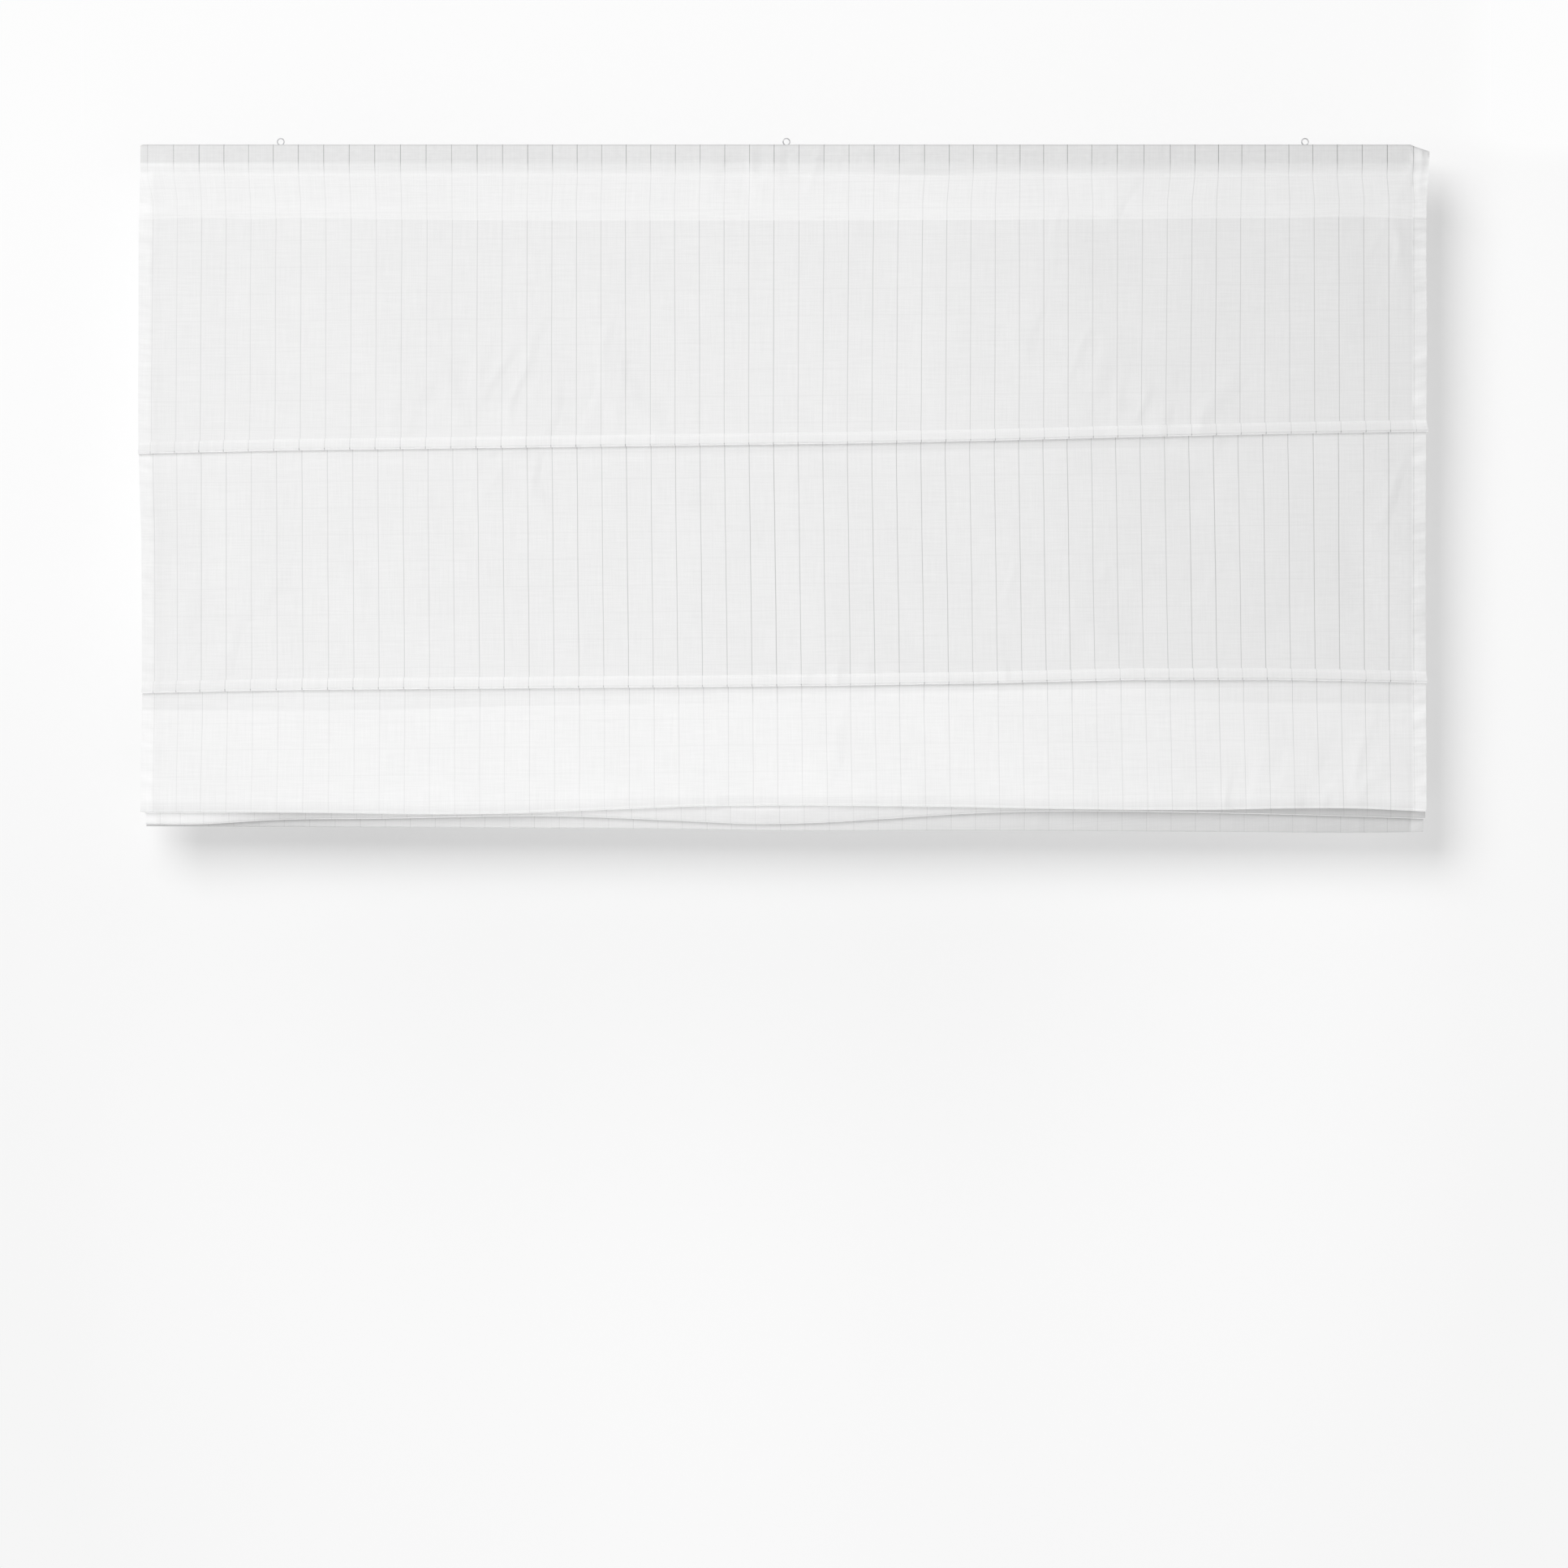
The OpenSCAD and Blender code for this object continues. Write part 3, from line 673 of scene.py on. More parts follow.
class HungCloth(FoldPath):
    """The path of the whole sheet as it hangs, from one raw edge to the other."""

    def __init__(self, cloth, lay, x):
        super().__init__(len(x))
        self.cloth, self.lay, self.x = cloth, lay, x
        self.share = (x - lay.x0) / lay.width
        self.rods = [rod_line(f"tuck_rod_{i}", x) for i in RODS]
        self.seams = [height + lay.rod_drop for _, height in self.rods]
        # Painted light: a soft pool, a little paler, right of the middle of the width
        self.hump = 0.03 * bell(self.share, 0.58, 0.2)
        self.panel_line = self.over(PANEL_LINE)
        self.shade = self.over(UNDER_SHADE)
        self.lean = {name: -self.over(points) * MM for name, points in LEAN.items()}
        held = np.interp(lay.x0 + lay.width / 2, x, self.seams[2])
        fall = held - cloth.pitch / 2 + (pi / 2 - 1) * cloth.bend
        self.layer_top = held + self.over(LAYER_TOP) * MM
        self.fall_a = fall + cloth.gather / 2 + self.over(FOLD_A) * MM
        self.fall_b = fall + self.over(FOLD_B) * MM

        self.top_hem()
        self.front_tuck(0)
        self.front_tuck(1)
        self.front_fold()
        self.gathered_tuck(2, self.pick(-3.2, -1.0) * MM)
        self.second_fold()
        self.gathered_tuck(3, self.pick(-9.0, 3.0) * MM)
        self.bottom_hem()

    def over(self, points):
        return curve(points, self.share)

    def pick(self, left, right):
        return left + (right - left) * self.share

    def top_hem(self):
        """Raw edge, up the back, over the batten, down the front and on to the hem's end."""
        cloth, lay, x = self.cloth, self.lay, self.x
        r = lay.backs / 2
        front, inner = lay.panel[0], lay.panel[0] + lay.mixed
        end = lay.top - cloth.top_hem + self.over(HEM_END) * MM
        loose = np.clip((x - lay.droop_x) / (lay.x1 - lay.droop_x), 0, 1)
        half = lay.half + (3 * cloth.thickness - lay.half) * loose
        corner = np.minimum(lay.corner, half - cloth.press)
        rounded = 1.6 * MM * np.clip(1 - (x - lay.x0) / (2 * MM), 0, 1)
        top = lay.top - lay.front - cloth.droop * loose ** 0.8 - rounded
        # Painted light: the double top hem is paler than one layer, and paler still in the pool of painted
        # light
        tone = self.pick(1.03, 1.055) + self.hump
        # Painted shade of a thin crease just under the batten, right of the middle
        dark = 0.07 * bell(self.share, 0.61, 0.03)

        self.to(inner, end + r + cloth.turn_in, line=0.4, drift=self.pick(0.5, -0.5) * MM)
        self.run(inner, end + r, 4)
        self.sweep(inner + r, end + r, r, pi, 2 * pi, 5)
        self.mark("hem_back")
        self.run(inner + lay.backs, lay.channel, 8)
        self.mark("channel_back")
        self.hang(half, lay.batten_bottom, 4)
        self.run(half, top - corner, 3, drift=self.lean["band"])
        self.sweep(half - corner, top - corner, corner, 0, pi / 2, 5)
        # Painted shade over the batten, which shows dark through the cloth, with its drawn lines painted
        # darker too
        self.run(corner - half, top, 2, tone=0.93, line=self.pick(0.9, 1.25))
        self.sweep(corner - half, top - corner, corner, pi / 2, pi, 5, tone=0.915 + 0.9 * self.hump)
        self.mark("band_top")
        self.run(-half, lay.batten_bottom + 2.2 * MM, 13)
        self.mark("band_end")
        # Painted light and shade under the batten where the cloth turns back, then a faint painted highlight
        # along the channel seam
        self.run(-half, lay.batten_bottom - 1.5 * MM, 2, tone=self.over(UNDER_BATTEN_SHADING), line=self.pick(0.6, 0.9))
        self.hang(front, lay.channel + 1.2 * MM, 5, tone=1.05 - dark, line=self.pick(0.18, 0.45))
        self.run(front, lay.channel, tone=tone + 0.015)
        self.mark("channel_front")
        self.run(front, lay.channel - 1.4 * MM, tone=tone - 0.008)
        aside = self.lean["panel_1"]
        self.run(front, end + cloth.turn_in, 4, tone=tone - 0.004, drift=aside + self.pick(0.6, -0.4) * MM)
        self.run(front, end + cloth.turn_in - 1.5 * MM, tone=tone + 0.006)
        self.run(front, end + 3 * MM, 3, tone=tone + 0.01)
        self.mark("hem_front")
        self.run(front, end, drift=aside)
        self.run(front, end - 0.9 * MM, tone=self.pick(0.995, 0.99) + self.hump, line=self.panel_line)

    def front_tuck(self, i):
        """Down a panel, round the tuck at its foot, and down to the painted shadow under the tuck."""
        lay = self.lay
        cy, cz = self.rods[i]
        seam = self.seams[i]
        foot = seam - self.cloth.tuck
        panel, back, below = lay.panel[i], lay.panel[i] + lay.backs, lay.panel[i + 1]
        aside = self.lean[f"tuck_{i + 1}"]
        # Painted light on the tuck's face, which shows two layers
        painted_light = self.over(FACE_LIGHT)
        meet = touch(panel, seam, cy, cz, lay.loop)
        y, z = cy + lay.loop * np.cos(meet), cz + lay.loop * np.sin(meet)

        self.run(panel, seam + 0.8 * MM, (40, 46)[i], tone=1.0 + self.hump * (1 - i), drift=aside)
        # A painted highlight along the tuck's seam
        self.run(panel, seam, tone=painted_light + 0.01, line=0.4, drift=aside + self.pick(1.6, -1.8) * MM,
                 left=0, right=0.4 * MM)
        self.mark(f"tuck_{i + 1}_top")
        # A painted highlight at the top of the tuck
        for part, pale in ((0.16, 0.055), (0.34, 0.005)):
            self.run(panel + (y - panel) * part, seam + (z - seam) * part, tone=painted_light + pale)
        self.run(y, z, 3, tone=painted_light - 0.02, line=0.45, left=0.3 * MM, right=(2.2, 1.2)[i] * MM)
        # Painted shade round the front of the folded edge, then painted light under it
        self.sweep(cy, cz, lay.loop, meet, pi, 2, tone=painted_light - 0.07)
        self.sweep(cy, cz, lay.loop, pi, 1.2 * pi, 3, tone=self.pick(1.0, 0.89), line=1.2)
        self.sweep(cy, cz, lay.loop, 1.2 * pi, 2 * pi, 9, tone=self.pick(1.27, 1.17))
        self.run(back, seam, 2, tone=1.0, line=0.5, left=0, right=0)
        self.sweep(back + lay.turn, seam, lay.turn, pi, 0, 4)
        self.mark(f"tuck_{i + 1}_back")
        # Painted light on the panel hidden behind the tuck, which lightens the line under it, then painted
        # shadow under the tuck, fading down the panel
        self.run(below, foot + 0.8 * MM, 3, tone=LIT_BELOW, line=self.panel_line * (1.28, 0.9)[i],
                 drift=self.lean[("panel_2", "fold_a")[i]])
        self.run(below, foot - 1.6 * MM, tone=1.0 + self.shade)
        if i == 0:
            for down, part in ((5, 0.8), (9, 0.45), (14, 0)):
                tone = 1.0 + part * self.shade + 0.6 * self.hump * (1 - part)
                self.run(below, foot - down * MM, tone=tone)

    def front_fold(self):
        """The fold that hangs in front, painted paler where the layers behind it show through."""
        cloth, lay = self.cloth, self.lay
        panel = lay.panel[2]
        start = self.seams[1] - cloth.tuck - cloth.bend
        end = self.fall_a + cloth.bend + lay.front
        swing = lay.fold_a - cloth.bend - panel

        def down(z, **paint):
            t = np.clip((start - z) / (start - end), 0, 1)
            self.to(panel + swing * ease(t), z, **paint)

        tone = self.over(STEP_SHADING)
        painted_light = self.pick(1.045, 1.07)
        thin = self.panel_line * (0.6 + 0.26 * (2 * self.share - 1) ** 2)
        blur = 1.5 * MM
        # Painted shadow under the tuck above
        for drop, shaded in ((0, 1.4), (3.5, 0.8), (9, 0)):
            down(start - drop * MM, tone=tone + shaded * self.shade)
        down(self.layer_top + blur)
        first = self.layer_top - blur
        # Painted light where the layers behind show through
        down(first, tone=painted_light, line=thin)
        steps = 21
        for step in range(1, steps + 1):
            t = step / steps
            lean = self.lean["fold_a"] + (self.lean["fold_a_end"] - self.lean["fold_a"]) * t
            # Painted shade just above the bottom edge, where the fold rounds under
            down(first + (end - first) * t, line=thin * (1 - 0.25 * t), drift=lean,
                 tone=painted_light + 0.5 * self.hump - 0.085 * smooth(0.915, 1.0, t))
        # Painted light round the bottom edge and under it
        self.sweep(lay.fold_a, end, cloth.bend, pi, 1.25 * pi, 4, tone=self.pick(1.02, 1.06))
        self.sweep(lay.fold_a, end, cloth.bend, 1.25 * pi, 2 * pi, 9, tone=LIT_BELOW)

    def gathered_tuck(self, i, aside):
        """Up to a tuck between two folds, over its first hump, round its rod and over its second."""
        lay = self.lay
        cy, cz = self.rods[i]
        seam = self.seams[i]
        gap = lay.backs / 2
        wrap = touch(cy - gap - 2 * lay.turn, seam, cy, cz, lay.wrap)
        hold = touch(cy - gap, seam, cy, cz, lay.loop)
        self.hang(cy - lay.wrap, cz, 8, tone=1.0, left=0, right=0)
        self.sweep(cy, cz, lay.wrap, pi, wrap, 2)
        self.run(cy - gap - 2 * lay.turn, seam)
        self.sweep(cy - gap - lay.turn, seam, lay.turn, pi, 0, 4)
        self.run(cy + lay.loop * np.cos(hold), cz + lay.loop * np.sin(hold))
        self.sweep(cy, cz, lay.loop, hold, 3 * pi - hold, 9)
        self.run(cy + gap, seam)
        self.sweep(cy + gap + lay.turn, seam, lay.turn, pi, 0, 4)
        self.run(cy + lay.wrap * np.cos(pi - wrap), cz + lay.wrap * np.sin(pi - wrap))
        self.sweep(cy, cz, lay.wrap, pi - wrap, 0, 2, drift=self.lean["fold_a_end"] + aside)

    def second_fold(self):
        """The fold behind the front one; only its bottom edge shows, under the front fold."""
        lay, bend = self.lay, self.cloth.bend
        end = self.fall_b + bend + lay.front
        # Painted shade: this fold lies in the shade of the front one; painted light on it just under the
        # front fold's edge and under its own edge
        dim = self.over(FOLD_B_SHADE)
        shown = 15.0
        self.hang(lay.fold_b - bend, end + shown * MM, 6, tone=1.2 * dim, line=0.28,
                  left=-5.5 * MM, right=-0.5 * MM)
        for left in np.linspace(shown, 0, 7)[1:]:
            z = end + left * MM
            under = np.clip(self.fall_a - z, 0, 1)
            self.to(lay.fold_b - bend, z, tone=dim * (1 + 0.3 * np.exp(-under / (3 * MM))))
        self.sweep(lay.fold_b, end, bend, pi, 1.25 * pi, 4, tone=dim)
        self.sweep(lay.fold_b, end, bend, 1.25 * pi, 2 * pi, 8, tone=1.2)

    def bottom_hem(self):
        """The last panel, and the hem round its bar with the raw edge turned in."""
        cloth, lay = self.cloth, self.lay
        low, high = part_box("bottom_bar")
        middle = (low + high) / 2
        rise = (low.z - high.z + BAR_HEIGHT) / (high.x - low.x)
        bottom = middle.z - BAR_HEIGHT / 2 - lay.bar_loop - lay.front
        bottom = bottom + rise * (self.x - middle.x) + self.over(BOTTOM) * MM
        foot = bottom + lay.front + lay.bar_loop
        r, back = lay.backs / 2, lay.last + 2 * lay.bar_loop
        hem = bottom + cloth.bottom_hem
        self.hang(lay.last, hem, 7, tone=self.over(LAST_SHADE), line=0.3, left=-5.5 * MM, right=-2.2 * MM)
        self.mark("bottom_front")
        self.run(lay.last, foot, 5)
        self.sweep(lay.last + lay.bar_loop, foot, lay.bar_loop, pi, 2 * pi, 8)
        self.run(back, hem - r, 5)
        self.mark("bottom_back")
        self.sweep(back - r, hem - r, r, 0, pi, 4)
        self.run(back - 2 * r, hem - r - BOTTOM_TURN, 2)


def beside(y, z, offset):
    """The section moved to its right by an offset, mitred at each row."""
    step = np.stack([np.diff(y, axis=0), np.diff(z, axis=0)])
    step /= np.hypot(*step)
    before = np.concatenate([step[:, :1], step], axis=1)
    after = np.concatenate([step, step[:, -1:]], axis=1)
    mid = before + after
    mid /= np.hypot(*mid)
    reach = offset / np.maximum((mid * before).sum(0), 0.3)
    return y + reach * mid[1], z - reach * mid[0]


def sway(cloth, lay, x, z, seams):
    """How far the hanging cloth stands out of its flat fall, kept still at rods and battens."""
    rng = np.random.default_rng(SEED)
    left, right = x - lay.x0, lay.x1 - x
    edge = np.minimum(left, right)

    # Soft waves, finer towards the side edges
    free = smooth(lay.channel - 0.012, lay.channel - 0.07, z) * smooth(-0.836, -0.800, z)
    for seam in seams[:3]:
        free = free * smooth(0.013, 0.05, np.abs(z - seam + cloth.tuck / 2))
    wide = ripples(rng, x, z * 0.35, 9, 0.12, 0.5)
    fine = ripples(rng, x, z * 0.6, 8, 0.05, 0.11)
    shape = wide * 0.62 + fine * (0.10 + 0.42 * np.exp(-edge / 0.07))

    # Puckers in the side hems, gathers next to the tucks, and creases in the panels
    wave = 0.0235
    phase = 2 * pi * (z + np.where(right < left, 0.45, 0.25) * edge) / wave
    beat = ripples(rng, x * 0.2, z, 5, 0.05, 0.16)
    crease = np.exp(-((edge / 0.014) ** 4)) * np.sin(phase + 1.4 * beat) * (0.55 + 0.45 * np.tanh(beat))
    gathers = ripples(rng, x, z * 0.5, 7, 0.035, 0.09)
    still = smooth(-0.840, -0.825, z) * smooth(lay.channel + 0.004, lay.channel - 0.02, z)
    for seam in seams[:2]:
        under = np.maximum(0, seam - cloth.tuck - z) + np.maximum(0, z - seam) * 2
        crease = crease + 0.35 * gathers * np.exp(-under / 0.014)
        still = still * smooth(0.010, 0.022, np.abs(z - seam + cloth.tuck / 2))
    for x0, z0, x1, z1, width, deep in np.array(CREASES) * MM:
        length = math.hypot(x1 - x0, z1 - z0)
        ax, az = (x1 - x0) / length, (z1 - z0) / length
        t = ((x - x0) * ax + (z - z0) * az) / length
        off = (x - x0) * az - (z - z0) * ax
        crease = crease + 1.5 * deep / cloth.pucker * bell(off, 0, width) * np.exp(-((2 * t - 1) ** 4))

    # Crumples in the corner past the batten's end, with a groove at the end itself
    past = x - lay.droop_x
    loose = smooth(-2 * MM, 1 * MM, past) * smooth(-0.10, -0.02, z)
    groove = bell(past - 0.3 * (lay.top - 5 * MM - z), 1.0 * MM, 1.4 * MM) * smooth(-0.020, -0.010, z)
    crumple = np.sin(2 * pi * (past + 0.06 * z) / 0.0115 + 0.9 * np.sin(z / 0.011)) + 1.4 * groove
    return cloth.ripple * shape * free + cloth.pucker * crease * still + cloth.crumple * crumple * loose


def strip_shading(cloth, lay, x):
    """Painted light of the side hems, which are paler than one layer, and painted shade at their inner edges.
    """
    left, right = (x - lay.x0) / cloth.side_hem, (lay.x1 - x) / cloth.side_hem
    pale = 0.042 * np.exp(-((left / 0.99) ** 14))
    pale = pale + (0.046 + 0.036 * right) * np.exp(-((right / 0.99) ** 14))
    return pale - 0.018 * (bell(left, 1.25, 0.3) + 1.4 * bell(right, 1.12, 0.12))


def sheet_shading(cloth, lay, x, z, paint, marks):
    """Painted shading of the cloth: that of its rows, with the side hems' painted light and shade and the
    loose corner's painted light laid over.
    """
    below = smooth(lay.batten_bottom - 4 * MM, lay.batten_bottom - 16 * MM, z)
    tone = paint + strip_shading(cloth, lay, x) * below
    # Painted light on the loose corner past the batten's end, which turns away from the lamp
    loose = smooth(lay.droop_x - 1 * MM, lay.droop_x + 2 * MM, x)[None, :]
    lit = 1.05 + 0.06 * smooth(-0.012, -0.018, z)
    tone = tone + (lit - tone) * loose * (1 - below)

    # Painted shade of stitches, short dark marks at the corner, then painted shade of puckers across the
    # right hem
    band = slice(marks["band_top"], marks["band_end"])
    stitch_shade = np.arange(band.stop - band.start) % 2 * smooth(-0.021, -0.018, z[band, -1])
    for column, depth in ((-1, 0.3), (-2, 0.3), (-6, 0.22)):
        tone[band, column] -= depth * stitch_shade
    first = marks["hem_front"]
    for height, depth in ((-0.0955, 0.16), (-0.110, 0.10), (-0.128, 0.05)):
        row = first + int(np.argmin(np.abs(z[first:first + 20, -5] - height)))
        tone[row, -12:] -= depth
    return tone


def cloth_grids(cloth):
    """The front and back skins of the hung cloth, with the paint of each row."""
    lay = layers(cloth)
    x = mesh_columns(cloth, lay)
    path = HungCloth(cloth, lay, x)
    paint = path.grids()
    y, z = paint["y"], paint["z"]
    hem = (x <= lay.x0 + cloth.side_hem + 1e-6) | (x >= lay.x1 - cloth.side_hem - 1e-6)
    left_edge = curve(LEFT_EDGE, z[:, 0]) * MM + paint["left"][:, 0]
    right_edge = curve(RIGHT_EDGE, z[:, -1]) * MM + paint["right"][:, -1]
    slide = np.outer(right_edge, bell(x, lay.x1, 0.016)) - np.outer(left_edge, bell(x, lay.x0, 0.04))
    out = sway(cloth, lay, x[None, :], z, path.seams)
    skins = []
    for offset in (lay.front, -np.where(hem, lay.back, lay.front)):
        sy, sz = beside(y, z, offset)
        skins.append(np.stack([x[None, :] + slide, sy + out, sz], axis=2))
    steps = np.hypot(np.diff(y, axis=0), np.diff(z, axis=0))
    flat = np.concatenate([np.zeros((1, len(x))), np.cumsum(steps, axis=0)])
    level = flat - flat[path.marks["channel_front"]]
    strips = np.exp(-((np.minimum(x - lay.x0, lay.x1 - x) / (cloth.side_hem * 0.98)) ** 12))
    return SimpleNamespace(
        lay=lay,
        front=skins[0],
        back=skins[1],
        weave=np.stack([np.broadcast_to(x - lay.x0, y.shape) + paint["drift"], level], axis=2),
        tone=sheet_shading(cloth, lay, x, z, paint["tone"], path.marks),
        line=paint["line"] * (1 - 0.5 * strips[None, :]),
        marks=path.marks,
        length=float(flat[-1].mean()),
    )


def normals_of(grid):
    normal = np.cross(np.gradient(grid, axis=0), np.gradient(grid, axis=1))
    return normal / np.maximum(np.linalg.norm(normal, axis=2, keepdims=True), 1e-12)


def sheet_mesh(name, grids):
    """One closed mesh: front skin, back skin and the cut edges between them."""
    rows, columns = grids.front.shape[:2]
    count = rows * columns
    front = np.arange(count).reshape(rows, columns)
    back = front + count

    def quads(a, b, c, d):
        return np.stack([a, b, c, d], axis=-1).reshape(-1, 4)

    faces = np.concatenate([
        quads(front[:-1, :-1], front[1:, :-1], front[1:, 1:], front[:-1, 1:]),
        quads(back[:-1, :-1], back[:-1, 1:], back[1:, 1:], back[1:, :-1]),
        quads(front[:-1, 0], back[:-1, 0], back[1:, 0], front[1:, 0]),
        quads(front[:-1, -1], front[1:, -1], back[1:, -1], back[:-1, -1]),
        quads(front[0, :-1], front[0, 1:], back[0, 1:], back[0, :-1]),
        quads(front[-1, :-1], back[-1, :-1], back[-1, 1:], front[-1, 1:]),
    ])
    points = np.concatenate([grids.front.reshape(-1, 3), grids.back.reshape(-1, 3)])
    mesh = bpy.data.meshes.new(name)
    mesh.from_pydata(points.tolist(), [], faces.tolist())
    uv = mesh.uv_layers.new(name="weave")
    weave = np.tile(grids.weave.reshape(-1, 2), (2, 1))
    uv.data.foreach_set("uv", weave[faces.reshape(-1)].astype(np.float32).ravel())
    for key in ("tone", "line"):
        attribute = mesh.attributes.new(key, "FLOAT", "POINT")
        attribute.data.foreach_set("value", np.tile(getattr(grids, key).ravel(), 2).astype(np.float32))
    mesh.validate()
    return mesh


def new_piece(name, mesh, material):
    """A finished piece at the origin, riding on the blind."""
    piece = bpy.data.objects.new(name, mesh)
    bpy.context.scene.collection.objects.link(piece)
    mesh.materials.append(material)
    bpy.ops.object.select_all(action="DESELECT")
    bpy.context.view_layer.objects.active = piece
    piece.select_set(True)
    bpy.ops.object.shade_smooth_by_angle(angle=math.radians(50))
    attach(piece, "root")
    return piece


def begin(add, **settings):
    """Adds a primitive, alone in the selection."""
    bpy.ops.object.select_all(action="DESELECT")
    add(**settings)
    return bpy.context.object


def take(piece):
    """Points and faces of a modelled shape, which is then put away."""
    points = np.array([v.co for v in piece.data.vertices], float)
    faces = [tuple(p.vertices) for p in piece.data.polygons]
    mesh = piece.data
    bpy.data.objects.remove(piece)
    bpy.data.meshes.remove(mesh)
    return points, faces


def select_faces(piece, test):
    """Selects, in edit mode, the faces whose normal passes a test."""
    bpy.ops.object.mode_set(mode="OBJECT")
    for polygon in piece.data.polygons:
        polygon.select = test(polygon.normal)
    bpy.ops.object.mode_set(mode="EDIT")


def model_stitch(cloth):
    """One stitch along Z: a short thread that dips at both ends."""
    r = cloth.thread / 2
    body = 0.62 * cloth.stitch
    tip = (cloth.stitch - body) / 2
    piece = begin(bpy.ops.mesh.primitive_cylinder_add, vertices=5, radius=r, depth=body)
    bpy.ops.object.mode_set(mode="EDIT")
    bpy.ops.mesh.select_mode(type="FACE")
    for end in (1, -1):
        select_faces(piece, lambda normal: normal.z * end > 0.9)
        bpy.ops.mesh.extrude_region_move(TRANSFORM_OT_translate={"value": (0, -r * 0.8, end * tip)})
        bpy.ops.transform.resize(value=(0.5, 0.5, 1.0))
    bpy.ops.object.mode_set(mode="OBJECT")
    return take(piece)


def model_binding():
    """One turn of thread round a ring's wire, in the XY plane, drawn out towards the cloth."""
    piece = begin(
        bpy.ops.mesh.primitive_torus_add, major_radius=1.3 * MM, minor_radius=0.22 * MM,
        major_segments=16, minor_segments=6,
    )
    bpy.ops.object.mode_set(mode="EDIT")
    bpy.ops.mesh.select_mode(type="VERT")
    bpy.ops.object.mode_set(mode="OBJECT")
    for vertex in piece.data.vertices:
        vertex.select = vertex.co.y < -0.3 * MM
    bpy.ops.object.mode_set(mode="EDIT")
    bpy.ops.transform.translate(value=(0, -0.35 * MM, 0))
    bpy.ops.transform.resize(value=(0.7, 1.0, 1.0))
    bpy.ops.object.mode_set(mode="OBJECT")
    return take(piece)


def thread_piece(name, shape, frames, material):
    """A piece made of copies of one shape, each in its own (place, x, y, z) frame."""
    points, faces = shape
    place, ax, ay, az = (np.asarray(part, float)[:, None, :] for part in frames)
    local = points[None, :, 0:1] * ax + points[None, :, 1:2] * ay + points[None, :, 2:3] * az
    count = len(points)
    copies = [tuple(i + k * count for i in face) for k in range(len(place)) for face in faces]
    mesh = bpy.data.meshes.new(name)
    mesh.from_pydata((place + local).reshape(-1, 3).tolist(), [], copies)
    return new_piece(name, mesh, material)


def stitch_frames(points, normals, pitch):
    """Frames for stitches that follow a line on the cloth, a hair above it."""
    run = np.concatenate([[0], np.cumsum(np.linalg.norm(np.diff(points, axis=0), axis=1))])
    at = np.arange(pitch, run[-1] - pitch, pitch)

    def sample(values, where):
        return np.stack([np.interp(where, run, values[:, k]) for k in range(3)], axis=1)

    place = sample(points, at)
    normal = sample(normals, at)
    az = sample(points, at + pitch / 4) - place
    az /= np.linalg.norm(az, axis=1, keepdims=True)
    ay = normal - az * (normal * az).sum(1, keepdims=True)
    ay /= np.linalg.norm(ay, axis=1, keepdims=True)
    return place + ay * 0.06 * MM, np.cross(ay, az), ay, az


def ring_frames():
    """Frames for the turns of thread that hold each lift ring to its seam."""
    frames = []
    for i in RODS:
        hung = i < 3
        for column in COLUMNS:
            low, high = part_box(f"lift_ring_{i}_{column}")
            middle = np.array((low + high) / 2)
            r = (high.x - low.x) / 2 - (high.y - low.y) / 2
            for turn in (-0.24, 0.0, 0.24):
                a = (pi / 2 if hung else -pi / 2) + turn
                spoke = np.array([math.cos(a), 0, math.sin(a)])
                tangent = np.array([-math.sin(a), 0, math.cos(a)])
                side = np.array([0, 1.0, 0]) if hung else -spoke
                frames.append((middle + r * spoke, np.cross(side, tangent), side, tangent))
    return list(zip(*frames))


class BLIND_OT_cloth(bpy.types.Operator):
    """Hang the cloth: one sheet with its hems, tucks and gathered folds"""

    bl_idname = "blind.cloth"
    bl_label = "Folded cloth"

    def execute(self, context):
        cloth = context.scene.blind_cloth
        grids = cloth_grids(cloth)
        material = cotton_finish(cloth, context.scene.blind_colours, grids.lay.width)
        piece = new_piece("folded_cloth", sheet_mesh("folded_cloth", grids), material)
        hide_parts("cloth")
        return {"FINISHED"}


class BLIND_OT_stitching(bpy.types.Operator):
    bl_idname = "blind.stitching"
    bl_label = "Stitching"

    def execute(self, context):
        cloth = context.scene.blind_cloth
        grids = cloth_grids(cloth)
        skins = {"front": grids.front, "back": grids.back}
        normals = {"front": normals_of(grids.front), "back": -normals_of(grids.back)}
        marks = grids.marks
        stitch = model_stitch(cloth)
        material = thread_finish(context.scene.blind_colours)

        def row(skin, mark, shift=0):
            k, inside = marks[mark] + shift, slice(4, -9)
            return skins[skin][k, inside], normals[skin][k, inside]

        def edge(skin, column):
            rows = slice(marks["channel_front"], marks["bottom_front"])
            return skins[skin][rows, column], normals[skin][rows, column]

        hem_seams = (5, -11)
        seams = {
            "top_hem_stitching": [
                row("front", "channel_front"), row("front", "channel_back"),
                row("front", "hem_front"), row("front", "hem_back", 1),
            ],
            "tuck_stitching": [row("front", f"tuck_{i}_top", 1) for i in (1, 2)]
            + [row("back", f"tuck_{i}_back") for i in (1, 2)],
            "side_hem_stitching": [edge(skin, column) for skin in skins for column in hem_seams],
            "bottom_hem_stitching": [row("front", "bottom_front"), row("front", "bottom_back", -1)],
        }
        for name, lines in seams.items():
            frames = zip(*(stitch_frames(*line, cloth.stitch_pitch) for line in lines))
            joined = [np.concatenate(parts) for parts in frames]
            thread_piece(name, stitch, joined, material)
        thread_piece("ring_bindings", model_binding(), ring_frames(), material)
        return {"FINISHED"}


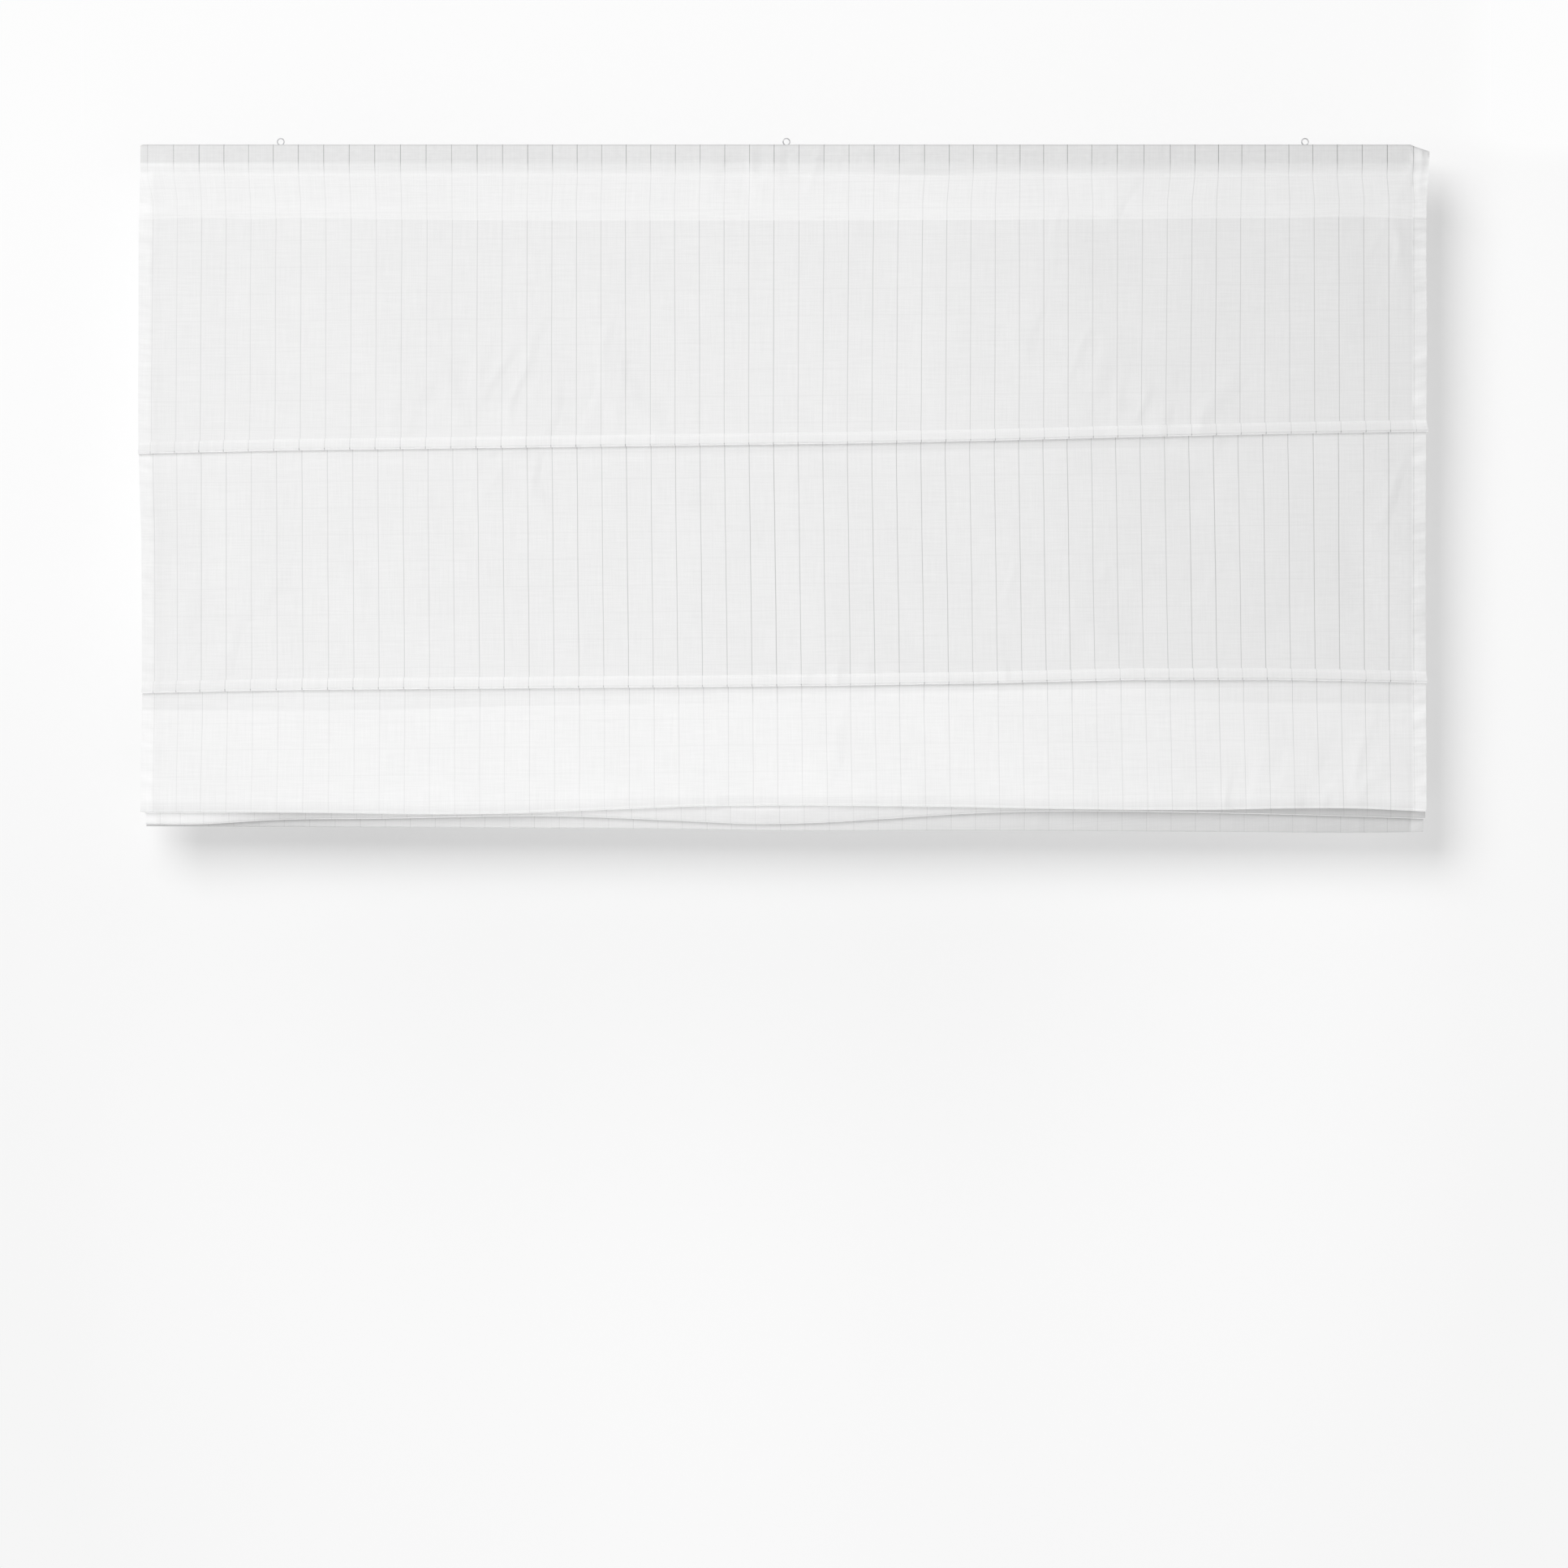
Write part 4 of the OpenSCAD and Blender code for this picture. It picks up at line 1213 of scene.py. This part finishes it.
class BLIND_OT_finishes(bpy.types.Operator):
    """Finish the batten, eyes, rods, bar and rings"""

    bl_idname = "blind.finishes"
    bl_label = "Hardware finishes"

    def execute(self, context):
        colours = context.scene.blind_colours
        finishes = {
            "head_batten": pine_finish(colours),
            "hanging_eye": zinc_finish(colours),
            "tuck_rod": fibreglass_finish(colours),
            "bottom_bar": steel_finish(colours),
            "lift_ring": plastic_finish(colours),
        }
        for name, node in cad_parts.items():
            for start, material in finishes.items():
                if name.startswith(start):
                    for slot in node.material_slots:
                        slot.material = material
        return {"FINISHED"}


# The stage, in metres: the camera's place, the backdrop's reach, and the lamps' places and sizes
CAMERA_X, CAMERA_Z, SENSOR = -0.003, -0.7988, 36.0
WALL_HALF, WALL_TOP, FLOOR_HALF = 4.0, 2.5, 9.0
KEY_TILT, KEY_TURN = math.radians(27), math.radians(-28)
KEY_REACH, KEY_SIZE = 6.5, 3.9
FILL_PLACE, FILL_SIZE = (-0.15, -1.2, -2.0), 1.2
BACK_PLACE, BACK_SIZE = (2.0, 5.0, 1.5), 4.0


def backdrop(name, corners, material):
    """A large plain surface of the stage, facing the blind."""
    piece = begin(bpy.ops.mesh.primitive_plane_add, size=1.0)
    piece.name = name
    for vertex, corner in zip(piece.data.vertices, corners):
        vertex.co = corner
    piece.data.materials.append(material)


def soft_lamp(name, place, aim, size, power):
    """A large square lamp that the camera doesn't see."""
    light = bpy.data.lights.new(name, "AREA")
    light.shape = "SQUARE"
    light.size = size
    light.energy = power
    lamp = bpy.data.objects.new(name, light)
    bpy.context.scene.collection.objects.link(lamp)
    lamp.location = place
    lamp.rotation_euler = (aim - lamp.location).to_track_quat("-Z", "Y").to_euler()
    lamp.visible_camera = False
    return light


class BLIND_OT_stage(bpy.types.Operator):
    """Set the camera, the soft lamps, the pale wall and the floor"""

    bl_idname = "blind.stage"
    bl_label = "Stage"

    def execute(self, context):
        scene = context.scene
        stage = scene.blind_stage
        centre = (cad_box[0] + cad_box[1]) / 2
        scene.view_settings.view_transform = "Standard"

        camera = bpy.data.objects.new("camera", bpy.data.cameras.new("camera"))
        scene.collection.objects.link(camera)
        camera.location = (CAMERA_X, -stage.distance, CAMERA_Z)
        camera.rotation_euler = (pi / 2, 0, 0)
        camera.data.sensor_width = SENSOR
        camera.data.lens = SENSOR * stage.distance / stage.view_width
        scene.camera = camera

        wall = backdrop_finish("wall_paint", scene.blind_colours.wall, stage.wall_glow)
        floor = backdrop_finish("floor_paint", scene.blind_colours.wall, stage.floor_glow)
        gap, drop = stage.wall_gap, -stage.floor_drop
        sides, ends = (-WALL_HALF, WALL_HALF), (-FLOOR_HALF, FLOOR_HALF)
        backdrop("wall", [(x, gap, z) for z in (drop, WALL_TOP) for x in sides], wall)
        backdrop("floor", [(x, y, drop) for y in ends for x in ends], floor)

        level = KEY_REACH * math.cos(KEY_TILT)
        ahead = (level * math.sin(KEY_TURN), -level * math.cos(KEY_TURN), KEY_REACH * math.sin(KEY_TILT))
        soft_lamp("key", centre + Vector(ahead), centre, KEY_SIZE, stage.key_power)
        fill = soft_lamp("fill", FILL_PLACE, centre, FILL_SIZE, stage.fill_power)
        fill.use_shadow = False
        soft_lamp("back", BACK_PLACE, centre, BACK_SIZE, stage.back_power)

        world = Finish(bpy.data.worlds.new("studio"))
        scene.world = world.owner
        height = world.parts(world.node("ShaderNodeTexCoord", output="Generated"))[2]
        around = height.ramp(-0.55, 0.25, 1.75, 0.72) * stage.sky
        plain = world.seen()
        strength = plain + (1.0 - plain) * around
        light = world.node("ShaderNodeBackground", None, {"Color": (1, 1, 1, 1), "Strength": strength})
        world.node("ShaderNodeOutputWorld", None, {"Surface": light})
        return {"FINISHED"}


class BLIND_PT_panel(bpy.types.Panel):
    """The blind's steps and sizes in the sidebar"""

    bl_idname = "BLIND_PT_panel"
    bl_label = "Roman blind"
    bl_space_type = "VIEW_3D"
    bl_region_type = "UI"
    bl_category = "Blind"

    def draw(self, context):
        for operator in OPERATORS:
            self.layout.operator(operator.bl_idname)
        for key, group in GROUPS.items():
            box = self.layout.box()
            box.label(text=group.__doc__)
            for name in group.__annotations__:
                box.prop(getattr(context.scene, key), name)


OPERATORS = (BLIND_OT_cloth, BLIND_OT_stitching, BLIND_OT_finishes, BLIND_OT_stage)
CLASSES = (*GROUPS.values(), *OPERATORS, BLIND_PT_panel)


def register():
    for item in CLASSES:
        bpy.utils.register_class(item)
    for key, group in GROUPS.items():
        setattr(bpy.types.Scene, key, bpy.props.PointerProperty(type=group))


def unregister():
    for key in GROUPS:
        delattr(bpy.types.Scene, key)
    for item in reversed(CLASSES):
        bpy.utils.unregister_class(item)


def main():
    register()
    bpy.ops.blind.cloth()
    bpy.ops.blind.stitching()
    bpy.ops.blind.finishes()
    bpy.ops.blind.stage()


if __name__ == "__main__":
    main()
